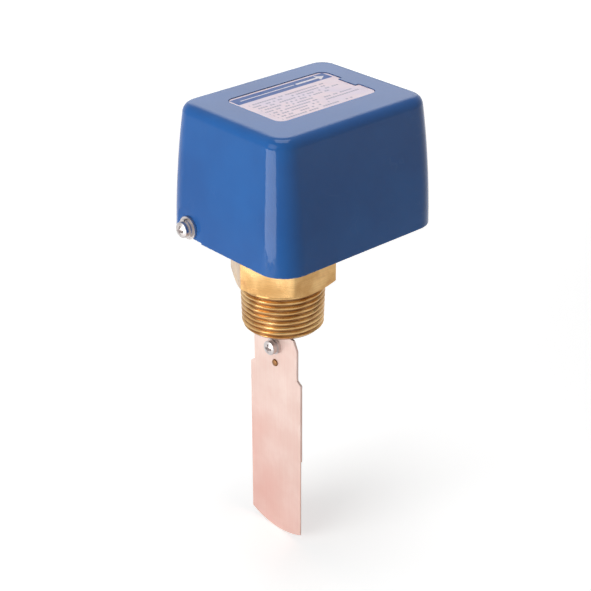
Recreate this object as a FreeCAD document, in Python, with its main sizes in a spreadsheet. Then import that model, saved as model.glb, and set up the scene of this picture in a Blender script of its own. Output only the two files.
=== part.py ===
import FreeCAD, Part
import math
import os
import re
import Sketcher

# A paddle flow switch. Millimetres. Z is up, the thread's axis is Z, and the liquid flows along +X.
# The origin is on the thread's axis, in the flat underside of the hexagon.

SIZES = {
    # pipe fitting: a one inch taper thread under a hexagon
    "thread_wide": 33.4,  # over the thread, at the hexagon
    "thread_long": 19.64,
    "thread_taper": 0.0625,  # change of diameter over length
    "thread_lead": 1.2,  # bevel at the free end
    "hex_flats": 37.4,
    "hex_tall": 19.54,
    "hex_face_wide": 36.6,  # round face left by the bevel on the hexagon
    "hex_bevel_angle": 30.0,
    "spigot_wall": 3.0,
    "spigot_tall": 7.0,
    "bore_wide": 24.0,
    "seat_step": 1.0,  # the bellows ring's seat is wider than the bore by this, all round
    "seat_deep": 3.0,
    # base pan
    "pan_wall": 1.6,
    "pan_rim_tall": 9.2,  # from the underside to the top of the rim
    "pan_bend": 1.4,  # outside radius of the drawn edge
    "ring_nut_rim": 3.0,  # from the spigot to the nut's outside
    "ring_nut_tall": 4.0,
    "ring_nut_slot_wide": 4.0,
    "ring_nut_slot_deep": 2.0,
    "ring_nut_slots": 6,
    "ring_nut_bevel": 0.6,
    # cover
    "cover_middle": 10.61,  # from the thread's axis to the middle of the cover
    "cover_long": 82.64,
    "cover_wide": 67.98,
    "cover_tall": 51.31,
    "cover_corner": 11.4,
    "waist_height": 25.66,  # above the cover's lower edge
    "waist_draft": 1.33,  # how far the ends lean in from the lower edge to here
    "waist_side_draft": 1.46,  # the same, for the long sides
    "crown_draft": 3.41,
    "crown_side_draft": 4.5,
    "waist_corner": 9.87,
    "crown_corner": 8.37,
    "crown_fillet": 4.05,
    "cover_wall": 2.0,
    "skirt_wall": 1.6,
    "skirt_gap": 0.3,  # between the skirt and the pan's rim
    "seat_gap": 0.1,  # faces that meet but move apart
    # cover screw, washers and the pressed pad that they bear on
    "cover_screw_side": 19.5,
    "cover_screw_height": 4.2,  # above the cover's lower edge
    "cover_screw_wide": 3.9,
    "cover_screw_reach": 8.1,
    "cover_head_wide": 6.2,
    "cover_head_tall": 2.7,
    "cover_lock_wide": 7.4,
    "cover_lock_tall": 1.2,
    "cover_washer_wide": 9.1,
    "cover_washer_tall": 0.9,
    "screw_pad_wide": 16.0,
    "screw_pad_wall": 0.8,
    "screw_slot_wide": 4.6,
    "lock_washer_split": 0.5,
    "washer_gap": 0.15,  # radial, between a washer and its screw
    # nameplate
    "plate_long": 49.3,
    "plate_wide": 30.6,
    "plate_tall": 0.45,
    "plate_corner": 3.4,
    "plate_forward": 1.24,  # from the middle of the cover
    "plate_side": 1.95,
    "plate_recess": 0.7,
    "plate_margin": 0.25,
    "plate_notch_wide": 9.8,
    "plate_notch_deep": 1.8,
    # yoke, pivot pin and rocker
    "yoke_wall": 1.5,
    "yoke_ring_gap": 1.0,  # between the ring nut and an ear
    "yoke_corner": 6.0,
    "yoke_front": 18.0,
    "ear_wide": 15.0,
    "ear_round": 5.5,
    "pin_rise": 12.86,  # from the pan's floor to the pin's axis
    "pin_wide": 4.0,
    "pin_overhang": 1.9,
    "pin_head_wide": 6.4,
    "pin_head_tall": 0.9,
    "clip_wide": 7.0,
    "clip_tall": 0.6,
    "clip_mouth_wide": 2.8,
    "tight_gap": 0.02,  # radial, pieces driven together
    "running_gap": 0.05,  # radial, pieces that turn or slide on each other
    "overcut": 1.0,  # how far a cutting tool runs past the piece
    "tap_room": 0.2,  # depth left under a screw's end
    "hub_wide": 10.0,
    "hub_side_gap": 0.4,
    "rocker_block": 12.0,
    "rocker_head_tall": 7.0,
    "socket_wide": 13.0,
    "socket_deep": 9.0,
    "socket_end": 3.0,  # from the pin's axis down to the stem's end
    # range arm and its screws
    "arm_wall": 1.5,
    "arm_back_reach": 6.0,  # behind the range screw
    "arm_front_reach": 4.7,  # ahead of the switch's plunger
    "arm_wide": 11.0,
    "arm_neck": 9.0,
    "arm_neck_run": 3.0,
    "arm_hole_wide": 6.4,
    "arm_corner": 2.0,
    "arm_screw_spread": 6.0,
    "arm_screw_wide": 2.4,
    "arm_screw_reach": 3.0,
    "arm_head_wide": 4.2,
    "arm_head_tall": 1.5,
    # bellows, its ring and plug
    "ring_tall": 2.0,
    "ring_hole": 17.0,
    "plug_tall": 2.0,
    "plug_wide": 15.0,
    "plug_height": 2.2,  # underside, above the origin
    "bellows_out": 16.4,
    "bellows_in": 12.0,
    "bellows_wall": 0.4,
    "bellows_folds": 2,
    "bellows_flange_room": 1.2,  # between the flange and the seat, all round
    # stem and paddle
    "stem_wide": 8.0,
    "stem_taper_tall": 3.0,
    "stem_flat_rise": 2.0,  # of the flat on the stem, above the leaves
    "palm_wide": 11.0,
    "palm_thick": 4.0,
    "palm_start": 2.0,  # below the leaf's upper edge, as the next ones are
    "palm_end": 18.8,
    "palm_round": 2.5,
    "leaf_thick": 0.5,
    "leaf_plane": 3.2,  # back of the leaves, from the thread's axis
    "leaf_thread_gap": 2.96,  # from the thread's end down to the leaf's upper edge
    "leaf_top_corner": 4.2,
    "leaf_neck": 25.2,
    "leaf_wide": 29.8,
    "leaf_neck_long": 17.3,  # from the leaf's upper edge to its shoulders
    "leaf_shoulder_tall": 1.6,
    "leaf_long": 93.3,
    "short_leaf_long": 57.6,
    "leaf_end_rise": 3.2,  # height of the round lower end
    "leaf_screw_down": 6.3,  # below the leaf's upper edge
    "leaf_screw_wide": 3.9,
    "leaf_screw_reach": 6.6,
    "leaf_head_wide": 5.9,
    "leaf_head_tall": 3.0,
    "leaf_lock_wide": 6.8,
    "leaf_lock_tall": 1.2,
    "leaf_hole_gap": 0.15,  # radial
    "locating_pin_down": 14.1,  # below the leaf's upper edge
    "locating_pin_wide": 2.8,
    "locating_pin_proud": 0.8,
    # range screw, nut and spring
    "range_back": 16.0,  # behind the pin's axis
    "range_screw_wide": 3.9,
    "range_screw_room": 0.56,  # between the ring nut and the screw's end
    "range_head_wide": 6.8,
    "range_head_tall": 2.4,
    "range_slot_wide": 1.0,
    "range_slot_deep": 1.1,
    "range_nut_long": 9.6,
    "range_nut_wide": 14.0,
    "range_nut_tall": 3.0,
    "range_nut_room": 1.86,  # between the ring nut and the range nut
    "nut_guide_gap": 0.3,
    "guide_wide": 8.0,
    "guide_drop": 5.0,  # from the arm down to the guide's top
    "spring_wire": 1.1,
    "spring_wide": 9.0,
    "spring_turns": 4,
    # mechanism frame and its screws
    "frame_wall": 1.5,
    "frame_front": 4.8,  # its back face, ahead of the pin's axis
    "frame_wide": 46.0,
    "frame_leg_gap": 0.8,  # between a leg and the yoke's ear
    "frame_leg_room": 2.19,  # between a leg and the pan's wall
    "frame_window_lift": 0.6,  # the window's top, above the switch case's underside
    "frame_shoulder": 3.0,  # above the window
    "frame_shoulder_run": 4.0,
    "frame_corner": 3.0,
    "shelf_wide": 18.0,
    "shelf_reach": 7.0,  # behind the range screw
    "shelf_corner": 3.0,
    "foot_long": 10.0,
    "frame_screw_wide": 2.9,
    "frame_head_wide": 5.6,
    "frame_head_tall": 2.0,
    "frame_screw_proud": 1.5,  # below the pan
    # snap switch
    "case_long": 44.0,
    "case_deep": 12.5,
    "lid_deep": 3.5,
    "case_tall": 17.0,
    "case_edge": 0.8,
    "plunger_wide": 4.0,
    "plunger_proud": 2.2,
    "plunger_in": 3.5,
    "plunger_travel": 1.6,
    "plunger_room": 0.6,
    "plunger_gap": 0.3,  # from the arm to the plunger
    "plunger_round": 0.8,
    "case_screw_spread": 30.0,
    "case_screw_drop": 11.0,  # below the case's top
    "case_screw_wide": 2.9,
    "case_head_wide": 5.4,
    "case_head_tall": 1.9,
    "case_screw_proud": 0.5,  # behind the frame
    "terminal_spread": 14.0,
    "terminal_long": 11.0,
    "terminal_wide": 8.0,
    "terminal_tall": 1.0,
    "terminal_screw_wide": 3.4,
    "terminal_head_wide": 6.4,
    "terminal_head_tall": 2.0,
    "terminal_well": 6.0,
    # conduit plate and earthing screw
    "conduit_hole": 22.2,
    "conduit_rise": 23.66,  # above the cover's lower edge
    "conduit_plate_wall": 1.6,
    "conduit_plate_gap": 1.13,  # from the pan's rim to the plate
    "conduit_plate_wide": 38.0,
    "conduit_plate_above": 15.3,  # from the hole's middle to the plate's top
    "conduit_plate_corner": 6.0,
    "conduit_foot": 9.0,
    "conduit_inner_bend": 0.8,
    "rivet_spread": 22.0,
    "rivet_wide": 3.1,
    "rivet_head_wide": 5.6,
    "rivet_head_tall": 1.2,
    "conduit_notch": 28.4,
    "earth_forward": 29.5,
    "earth_side": -21.5,
    "earth_wide": 3.9,
    "earth_head_flats": 8.0,
    "earth_head_tall": 3.2,
    "earth_washer_wide": 9.6,
    "earth_washer_tall": 0.8,
    "earth_screw_proud": 2.2,  # below the pan
}

doc = FreeCAD.newDocument("PaddleFlowSwitch")
sheet = doc.addObject("Spreadsheet::Sheet", "Sizes")
for row, (alias, value) in enumerate(SIZES.items(), 1):
    sheet.set(f"A{row}", alias)
    sheet.set(f"B{row}", str(value))
    sheet.setAlias(f"B{row}", alias)
doc.recompute()

NODES = []
ALIAS = re.compile(r"\b(" + "|".join(SIZES) + r")\b")


# ---- small helpers ----------------------------------------------------------------------------


def cells(text):
    """The expression with each size's name turned into its cell in the sheet."""
    return ALIAS.sub(r"Sizes.\1", str(text))


def number(text):
    """The expression's present value."""
    value = sheet.evalExpression(cells(text))
    return float(getattr(value, "Value", value))


def bind(thing, **expressions):
    for prop, text in expressions.items():
        thing.setExpression(prop.replace("__", "."), cells(text))
    return thing


def stand(thing, x="0", y="0", z="0"):
    """Place a primitive by expressions."""
    for axis, text in (("x", x), ("y", y), ("z", z)):
        thing.setExpression(f"Placement.Base.{axis}", cells(text))
    return thing


def node(thing, label):
    thing.Label = label
    NODES.append(thing)
    return thing


TURN = {
    "X": FreeCAD.Rotation(FreeCAD.Vector(0, 1, 0), 90),
    "Y": FreeCAD.Rotation(FreeCAD.Vector(1, 0, 0), -90),
    "Z": FreeCAD.Rotation(),
}


def rod(name, wide, long, start, along="Z"):
    """A cylinder from its start point along +X, +Y or +Z."""
    thing = doc.addObject("Part::Cylinder", name)
    thing.Placement = FreeCAD.Placement(FreeCAD.Vector(), TURN[along])
    bind(thing, Radius=f"({wide}) / 2", Height=long)
    return stand(thing, *start)


def block(name, long, wide, tall, low):
    """A box from its lowest corner."""
    thing = doc.addObject("Part::Box", name)
    bind(thing, Length=long, Width=wide, Height=tall)
    return stand(thing, *low)


def join(name, *pieces):
    thing = doc.addObject("Part::MultiFuse", name)
    thing.Shapes = list(pieces)
    return thing


def cut(name, base, *tools):
    thing = doc.addObject("Part::Cut", name)
    thing.Base = base
    thing.Tool = tools[0] if len(tools) == 1 else join(name + "_tools", *tools)
    return thing


def group(name, *pieces):
    """Separate solids kept as one node."""
    thing = doc.addObject("Part::Compound", name)
    thing.Links = list(pieces)
    return thing


def new_body(name):
    return doc.addObject("PartDesign::Body", name)


def sketch_on(body, plane, offset="0"):
    """A sketch on one of the body's own origin planes, moved along the plane's normal."""
    sketch = body.newObject("Sketcher::SketchObject", f"{body.Name}_sketch")
    face = [item for item in body.Origin.OriginFeatures if item.Role == plane + "_Plane"][0]
    sketch.AttachmentSupport = (face, [""])
    sketch.MapMode = "FlatFace"
    sketch.setExpression("AttachmentOffset.Base.z", cells(offset))
    return sketch


def fix_point(sketch, item, end, x, y):
    for kind, text in (("DistanceX", x), ("DistanceY", y)):
        if text is not None:
            index = sketch.addConstraint(Sketcher.Constraint(kind, item, end, number(text)))
            sketch.setExpression(f"Constraints[{index}]", cells(text))


def outline(sketch, corners):
    """A closed outline of straight runs; each corner is a pair of expressions."""
    points = [FreeCAD.Vector(number(x), number(y), 0) for x, y in corners]
    first = sketch.GeometryCount
    count = len(points)
    for here, there in zip(points, points[1:] + points[:1]):
        sketch.addGeometry(Part.LineSegment(here, there), False)
    for step in range(count):
        after = first + (step + 1) % count
        sketch.addConstraint(Sketcher.Constraint("Coincident", first + step, 2, after, 1))
    for step, (x, y) in enumerate(corners):
        fix_point(sketch, first + step, 1, x, y)
    return sketch


def circle(sketch, x, y, wide):
    centre = FreeCAD.Vector(number(x), number(y), 0)
    ring = Part.Circle(centre, FreeCAD.Vector(0, 0, 1), number(wide) / 2)
    item = sketch.addGeometry(ring, False)
    fix_point(sketch, item, 3, x, y)
    index = sketch.addConstraint(Sketcher.Constraint("Radius", item, number(wide) / 2))
    sketch.setExpression(f"Constraints[{index}]", cells(f"({wide}) / 2"))
    return sketch


def round_rectangle(sketch, x, y, long, wide, corner):
    """A rectangle with equal round corners about its middle."""
    low_x, high_x = f"({x}) - ({long}) / 2", f"({x}) + ({long}) / 2"
    low_y, high_y = f"({y}) - ({wide}) / 2", f"({y}) + ({wide}) / 2"
    x0, x1, y0, y1 = number(low_x), number(high_x), number(low_y), number(high_y)
    r = number(corner)
    vec = FreeCAD.Vector
    runs = [
        (vec(x0 + r, y0), vec(x1 - r, y0)),
        (vec(x1, y0 + r), vec(x1, y1 - r)),
        (vec(x1 - r, y1), vec(x0 + r, y1)),
        (vec(x0, y1 - r), vec(x0, y0 + r)),
    ]
    centres = [vec(x1 - r, y0 + r), vec(x1 - r, y1 - r), vec(x0 + r, y1 - r), vec(x0 + r, y0 + r)]
    lines = [sketch.addGeometry(Part.LineSegment(*run), False) for run in runs]
    arcs = []
    for quarter, centre in enumerate(centres):
        ring = Part.Circle(centre, vec(0, 0, 1), r)
        start = -math.pi / 2 + quarter * math.pi / 2
        arcs.append(sketch.addGeometry(Part.ArcOfCircle(ring, start, start + math.pi / 2), False))
    for side in range(4):
        sketch.addConstraint(Sketcher.Constraint("Tangent", lines[side], 2, arcs[side], 1))
        sketch.addConstraint(Sketcher.Constraint("Tangent", arcs[side], 2, lines[(side + 1) % 4], 1))
        if side:
            sketch.addConstraint(Sketcher.Constraint("Equal", arcs[0], arcs[side]))
    sketch.addConstraint(Sketcher.Constraint("Horizontal", lines[0]))
    sketch.addConstraint(Sketcher.Constraint("Vertical", lines[1]))
    sketch.addConstraint(Sketcher.Constraint("Horizontal", lines[2]))
    sketch.addConstraint(Sketcher.Constraint("Vertical", lines[3]))
    fix_point(sketch, lines[0], 1, None, low_y)
    fix_point(sketch, lines[1], 1, high_x, None)
    fix_point(sketch, lines[2], 1, None, high_y)
    fix_point(sketch, lines[3], 1, low_x, None)
    index = sketch.addConstraint(Sketcher.Constraint("Radius", arcs[0], r))
    sketch.setExpression(f"Constraints[{index}]", cells(corner))
    return sketch


def pad(body, sketch, long, midplane=False, reverse=False):
    feature = body.newObject("PartDesign::Pad", f"{body.Name}_pad")
    feature.Profile = sketch
    feature.Midplane = midplane
    feature.Reversed = reverse
    return bind(feature, Length=long)


def pocket(body, sketch, deep, midplane=False, reverse=False):
    feature = body.newObject("PartDesign::Pocket", f"{body.Name}_pocket")
    feature.Profile = sketch
    feature.Midplane = midplane
    feature.Reversed = reverse
    return bind(feature, Length=deep)


def spin(body, sketch, kind="Revolution"):
    """A full turn of a sketch about its own upright axis, added (Revolution) or removed (Groove)."""
    feature = body.newObject("PartDesign::" + kind, f"{body.Name}_{kind.lower()}")
    feature.Profile = sketch
    feature.ReferenceAxis = (sketch, ["V_Axis"])
    feature.Angle = 360
    return feature


def soften(body, base, radius, chosen, kind="Fillet"):
    """Round or bevel those edges of a feature that the test picks."""
    doc.recompute()
    names = [f"Edge{i}" for i, edge in enumerate(base.Shape.Edges, 1) if chosen(edge)]
    feature = body.newObject("PartDesign::" + kind, f"{body.Name}_{kind.lower()}")
    feature.Base = (base, names)
    bind(feature, **{"Radius" if kind == "Fillet" else "Size": radius})
    body.Tip = feature
    return feature


def at_height(edge, level, slack=0.01):
    return abs(edge.BoundBox.ZMin - level) < slack and abs(edge.BoundBox.ZMax - level) < slack


def is_upright(edge):
    return edge.BoundBox.XLength + edge.BoundBox.YLength < 0.01


def drill(name, wide, deep, start, along="Z"):
    """A cutting rod through a piece, run past both of its faces."""
    axis = "XYZ".index(along)
    low = list(start)
    low[axis] = f"({start[axis]}) - overcut"
    return rod(name, wide, f"({deep}) + 2 * overcut", low, along)


def headed(name, head_wide, head_tall, wide, long, seat, along="Z", facing=1):
    """A screw or rivet; facing is +1 where its head stands on the positive side of its seat."""
    axis = "XYZ".index(along)
    head_start = list(seat)
    shank_start = list(seat)
    if facing > 0:
        shank_start[axis] = f"({seat[axis]}) - ({long})"
    else:
        head_start[axis] = f"({seat[axis]}) - ({head_tall})"
    head = rod(name + "_head", head_wide, head_tall, head_start, along)
    return join(name, head, rod(name + "_shank", wide, long, shank_start, along))


def split_washer(name, wide, hole, tall, x, y, z):
    """A spring lock washer along X: a ring with one narrow cut through it."""
    ring = rod(name + "_ring", wide, tall, (x, y, z), "X")
    bore = drill(name + "_bore", f"{hole} + 2 * washer_gap", tall, (x, y, z), "X")
    gap = block(name + "_gap", f"{tall} + 2 * overcut", "lock_washer_split", wide,
                (f"{x} - overcut", f"{y} - lock_washer_split / 2", z))
    return cut(name, ring, bore, gap)


# ---- levels and planes that several pieces share ------------------------------------------------

EDGE = "hex_tall"  # the cover's lower edge and the pan's underside
FLOOR = f"({EDGE} + pan_wall)"
RIM_TOP = f"({EDGE} + pan_rim_tall)"
COVER_TOP = f"({EDGE} + cover_tall)"
END_BACK = "(cover_middle - cover_long / 2)"  # the cover's ends, at its lower edge
END_FRONT = "(cover_middle + cover_long / 2)"
SKIRT_BACK = f"({END_BACK} + skirt_wall)"
PAN_LONG = "(cover_long - 2 * skirt_wall - 2 * skirt_gap)"
PAN_WIDE = "(cover_wide - 2 * skirt_wall - 2 * skirt_gap)"
PAN_CORNER = "(cover_corner - skirt_wall - skirt_gap)"
PAD_PLANE = f"({SKIRT_BACK} - screw_pad_wall)"
SCREW_Z = f"({EDGE} + cover_screw_height)"

SPIGOT_TOP = f"({EDGE} + spigot_tall)"
SPIGOT_WIDE = "(bore_wide + 2 * spigot_wall)"
SEAT_WIDE = "(bore_wide + 2 * seat_step)"
SEAT = f"({SPIGOT_TOP} - seat_deep)"  # what the bellows' flange lies on
YOKE_FLOOR = f"({FLOOR} + yoke_wall)"
RING_NUT_WIDE = f"({SPIGOT_WIDE} + 2 * ring_nut_rim)"
RING_NUT_TOP = f"({YOKE_FLOOR} + ring_nut_tall)"
YOKE_INSIDE = f"({RING_NUT_WIDE} + 2 * yoke_ring_gap)"
YOKE_BACK = "(range_back + range_nut_long / 2 + nut_guide_gap + yoke_wall)"
EAR_OUT = f"({YOKE_INSIDE} / 2 + yoke_wall)"

PIN_Z = f"({FLOOR} + pin_rise)"
ARM_UNDER = f"({PIN_Z} + rocker_head_tall)"
ARM_TOP = f"({ARM_UNDER} + arm_wall)"
ARM_BACK = "(range_back + arm_back_reach)"
GUIDE_TOP = f"({ARM_UNDER} - guide_drop)"
RANGE_X = "(-range_back)"
RANGE_SCREW_END = f"({RING_NUT_TOP} + range_screw_room)"
NUT_UNDER = f"({RING_NUT_TOP} + range_nut_room)"
NUT_TOP = f"({NUT_UNDER} + range_nut_tall)"

CASE_UNDER = f"({ARM_TOP} + plunger_gap + plunger_proud)"
CASE_TOP = f"({CASE_UNDER} + case_tall)"
CASE_BACK = "(frame_front + frame_wall)"
CASE_SCREW_Z = f"({CASE_TOP} - case_screw_drop)"
PLUNGER_X = f"({CASE_BACK} + (case_deep + lid_deep) / 2)"
ARM_FRONT = f"({PLUNGER_X} + arm_front_reach)"
FRAME_TOP = CASE_TOP
SHELF_UNDER = f"({FRAME_TOP} - frame_wall)"
SHELF_BACK = "(range_back + shelf_reach)"
WINDOW_TOP = f"({CASE_UNDER} + frame_window_lift)"
LEG_IN = f"({EAR_OUT} + frame_leg_gap)"
LEG_OUT = f"({PAN_WIDE} / 2 - pan_wall - frame_leg_room)"
FOOT_X = f"({CASE_BACK} + foot_long / 2)"
FOOT_Y = f"(({LEG_IN} + {LEG_OUT}) / 2)"

CONDUIT_Z = f"({EDGE} + conduit_rise)"
PLATE_FRONT = f"({END_FRONT} - skirt_wall - skirt_gap - pan_wall - conduit_plate_gap)"
PLATE_BACK = f"({PLATE_FRONT} - conduit_plate_wall)"
PLATE_TOP = f"({CONDUIT_Z} + conduit_plate_above)"
RIVET_X = f"({PLATE_BACK} - conduit_foot / 2)"

# below the origin: depths, counted downwards
LEAF_TOP = "(thread_long + leaf_thread_gap)"
SHOULDER = f"({LEAF_TOP} + leaf_neck_long)"
SHOULDER_END = f"({SHOULDER} + leaf_shoulder_tall)"
LEAF_SCREW = f"({LEAF_TOP} + leaf_screw_down)"
LOCATING_PIN = f"({LEAF_TOP} + locating_pin_down)"
PALM_TOP = f"({LEAF_TOP} + palm_start)"
PALM_END = f"({LEAF_TOP} + palm_end)"
PALM_FRONT = "(-leaf_plane)"
LEAF_FRONT = f"({PALM_FRONT} - 2 * leaf_thick)"

BOTH = ("", "-")  # signs for a pair of pieces either side of the middle


# ---- wetted pieces -------------------------------------------------------------------------------


def make_fitting():
    """A hexagon with its thread below, a spigot above and one bore, stepped for the bellows."""
    body = new_body("pipe_fitting")
    hexagon = sketch_on(body, "XY")
    reach = "hex_flats / 2 / cos(30)"
    outline(hexagon, [(f"{reach} * cos({60 * k})", f"{reach} * sin({60 * k})") for k in range(6)])
    pad(body, hexagon, "hex_tall")
    face, tip = "hex_face_wide / 2", "thread_wide / 2 - thread_long * thread_taper / 2"
    bevel = sketch_on(body, "XZ")
    outline(bevel, [
        (face, "-overcut"),
        (f"{reach} + overcut", "-overcut"),
        (f"{reach} + overcut", f"({reach} + overcut - {face}) * tan(hex_bevel_angle)"),
        (face, "0"),
    ])
    spin(body, bevel, "Groove")
    thread = sketch_on(body, "XZ")
    outline(thread, [
        ("bore_wide / 2", "-thread_long"),
        (f"{tip} - thread_lead", "-thread_long"),
        (tip, "-thread_long + thread_lead"),
        ("thread_wide / 2", "0"),
        ("thread_wide / 2", "overcut"),
        ("bore_wide / 2", "overcut"),
    ])
    spin(body, thread)
    spigot = sketch_on(body, "XZ")
    outline(spigot, [
        ("bore_wide / 2", f"{EDGE} - overcut"),
        (f"{SPIGOT_WIDE} / 2", f"{EDGE} - overcut"),
        (f"{SPIGOT_WIDE} / 2", SPIGOT_TOP),
        ("bore_wide / 2", SPIGOT_TOP),
    ])
    spin(body, spigot)
    bore = sketch_on(body, "XZ")
    outline(bore, [
        ("0", "-thread_long - overcut"),
        ("bore_wide / 2", "-thread_long - overcut"),
        ("bore_wide / 2", SEAT),
        (f"{SEAT_WIDE} / 2", SEAT),
        (f"{SEAT_WIDE} / 2", f"{SPIGOT_TOP} + overcut"),
        ("0", f"{SPIGOT_TOP} + overcut"),
    ])
    spin(body, bore, "Groove")
    return node(body, "pipe_fitting")


def make_bellows():
    """A folded tube between the ring at its top and the plug on the stem."""
    low = "(plug_height + plug_tall)"
    body = new_body("bellows")
    section = sketch_on(body, "XZ")
    steps = 2 * int(SIZES["bellows_folds"]) + 1
    radii = ["bellows_in / 2", "bellows_out / 2"]
    # heights of the folds' crests and roots, evenly spread between the two flanges
    level = [f"{low} + bellows_wall + ({SEAT} - {low} - 2 * bellows_wall) * {k} / {steps}"
             for k in range(steps + 1)]
    outer = [(radii[k % 2], level[k]) for k in range(steps + 1)]
    inner = [(f"{r} - bellows_wall", z) for r, z in reversed(outer)]
    flange = f"{SEAT_WIDE} / 2 - bellows_flange_room"
    corners = [("plug_wide / 2 - bellows_wall", low), ("plug_wide / 2 - bellows_wall", level[0])]
    corners += outer
    corners += [(flange, level[-1]), (flange, SEAT), ("bellows_out / 2 - bellows_wall", SEAT)]
    corners += inner
    corners += [("bellows_in / 2 - bellows_wall", low)]
    outline(section, corners)
    spin(body, section)
    node(body, "bellows")

    ring = cut(
        "bellows_ring",
        rod("ring_disc", f"{SEAT_WIDE} - 2 * tight_gap", "ring_tall", ("0", "0", SEAT)),
        drill("ring_bore", "ring_hole", "ring_tall", ("0", "0", SEAT)),
    )
    node(ring, "bellows_ring")
    plug = cut(
        "bellows_plug",
        rod("plug_disc", "plug_wide", "plug_tall", ("0", "0", "plug_height")),
        drill("plug_bore", "stem_wide + 2 * tight_gap", "plug_tall", ("0", "0", "plug_height")),
    )
    node(plug, "bellows_plug")


def make_stem():
    """A round stem that ends in a flat palm, which the leaves lie on."""
    body = new_body("palm")
    face = sketch_on(body, "YZ", PALM_FRONT)
    round_rectangle(face, "0", f"-({PALM_TOP} + {PALM_END}) / 2", "palm_wide",
                    f"{PALM_END} - {PALM_TOP}", "palm_round")
    pad(body, face, "palm_thick")
    shank = rod("stem_rod", "stem_wide", f"{PIN_Z} - socket_end + {PALM_TOP}", ("0", "0", f"-{PALM_TOP}"))
    taper = doc.addObject("Part::Cone", "stem_taper")
    bind(taper, Radius1="palm_thick / 2", Radius2="stem_wide / 2", Height="stem_taper_tall")
    stand(taper, "0", "0", f"-{PALM_TOP} - stem_taper_tall")
    screw_hole = drill("stem_screw_hole", "leaf_screw_wide + 2 * running_gap", "palm_thick",
                       (PALM_FRONT, "0", f"-{LEAF_SCREW}"), "X")
    pin_hole = drill("stem_pin_hole", "locating_pin_wide + 2 * tight_gap", "palm_thick",
                     (PALM_FRONT, "0", f"-{LOCATING_PIN}"), "X")
    flat = block("stem_flat", "stem_wide", "2 * palm_wide", f"{PALM_END} - {LEAF_TOP} + stem_flat_rise",
                 (f"{PALM_FRONT} - stem_wide", "-palm_wide", f"-{PALM_END}"))
    stem = cut("stem", join("stem_solid", body, shank, taper), screw_hole, pin_hole, flat)
    return node(stem, "stem")


def leaf(name, back, long):
    """A thin leaf hung square to the flow, with a neck, two small shoulders and a round lower end."""
    body = new_body(name)
    face = sketch_on(body, "YZ", f"{back} - leaf_thick")
    neck, side, corner = "leaf_neck / 2", "leaf_wide / 2", "leaf_top_corner"
    edge_end = f"({LEAF_TOP} + {long} - leaf_end_rise)"
    path = [
        (f"-{side}", f"-{edge_end}"),
        (f"-{side}", f"-{SHOULDER_END}"),
        (f"-{neck}", f"-{SHOULDER}"),
        (f"-{neck}", f"-{LEAF_TOP} - {corner}"),
        (f"-{neck} + {corner} / 2", f"-{LEAF_TOP}"),
        (f"{neck} - {corner} / 2", f"-{LEAF_TOP}"),
        (neck, f"-{LEAF_TOP} - {corner}"),
        (neck, f"-{SHOULDER}"),
        (side, f"-{SHOULDER_END}"),
        (side, f"-{edge_end}"),
    ]
    points = [FreeCAD.Vector(number(x), number(y)) for x, y in path]
    for here, there in zip(points, points[1:]):
        face.addGeometry(Part.LineSegment(here, there), False)
    last = len(points) - 2
    for step in range(last):
        face.addConstraint(Sketcher.Constraint("Coincident", step, 2, step + 1, 1))
    for step, (x, y) in enumerate(path[:-1]):
        fix_point(face, step, 1, x, y)
    fix_point(face, last, 2, *path[-1])
    # the lower end is an arc through both corners and the tip
    arc_radius = f"(({side}) ^ 2 + leaf_end_rise ^ 2) / (2 * leaf_end_rise)"
    half, radius = number(side), number(arc_radius)
    centre = FreeCAD.Vector(0, radius - number(f"{LEAF_TOP} + {long}"))
    sweep = math.asin(half / radius)
    ring = Part.Circle(centre, FreeCAD.Vector(0, 0, 1), radius)
    item = face.addGeometry(Part.ArcOfCircle(ring, -math.pi / 2 - sweep, -math.pi / 2 + sweep), False)
    face.addConstraint(Sketcher.Constraint("Coincident", item, 1, 0, 1))
    face.addConstraint(Sketcher.Constraint("Coincident", item, 2, last, 2))
    index = face.addConstraint(Sketcher.Constraint("Radius", item, radius))
    face.setExpression(f"Constraints[{index}]", cells(arc_radius))
    circle(face, "0", f"-{LEAF_SCREW}", "leaf_screw_wide + 2 * leaf_hole_gap")
    circle(face, "0", f"-{LOCATING_PIN}", "locating_pin_wide + 2 * leaf_hole_gap")
    pad(body, face, "leaf_thick")
    return node(body, name)


def make_paddle():
    leaf("paddle_short", PALM_FRONT, "short_leaf_long")
    leaf("paddle", f"{PALM_FRONT} - leaf_thick", "leaf_long")
    lock_front = f"({LEAF_FRONT} - leaf_lock_tall)"
    node(split_washer("paddle_lock_washer", "leaf_lock_wide", "leaf_screw_wide", "leaf_lock_tall",
                      lock_front, "0", f"-{LEAF_SCREW}"), "paddle_lock_washer")
    node(headed("paddle_screw", "leaf_head_wide", "leaf_head_tall", "leaf_screw_wide",
                "leaf_screw_reach", (lock_front, "0", f"-{LEAF_SCREW}"), "X", -1), "paddle_screw")
    node(rod("locating_pin", "locating_pin_wide", "locating_pin_proud + 2 * leaf_thick + palm_thick",
             (f"{LEAF_FRONT} - locating_pin_proud", "0", f"-{LOCATING_PIN}"), "X"), "locating_pin")


# ---- base ----------------------------------------------------------------------------------------


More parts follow.
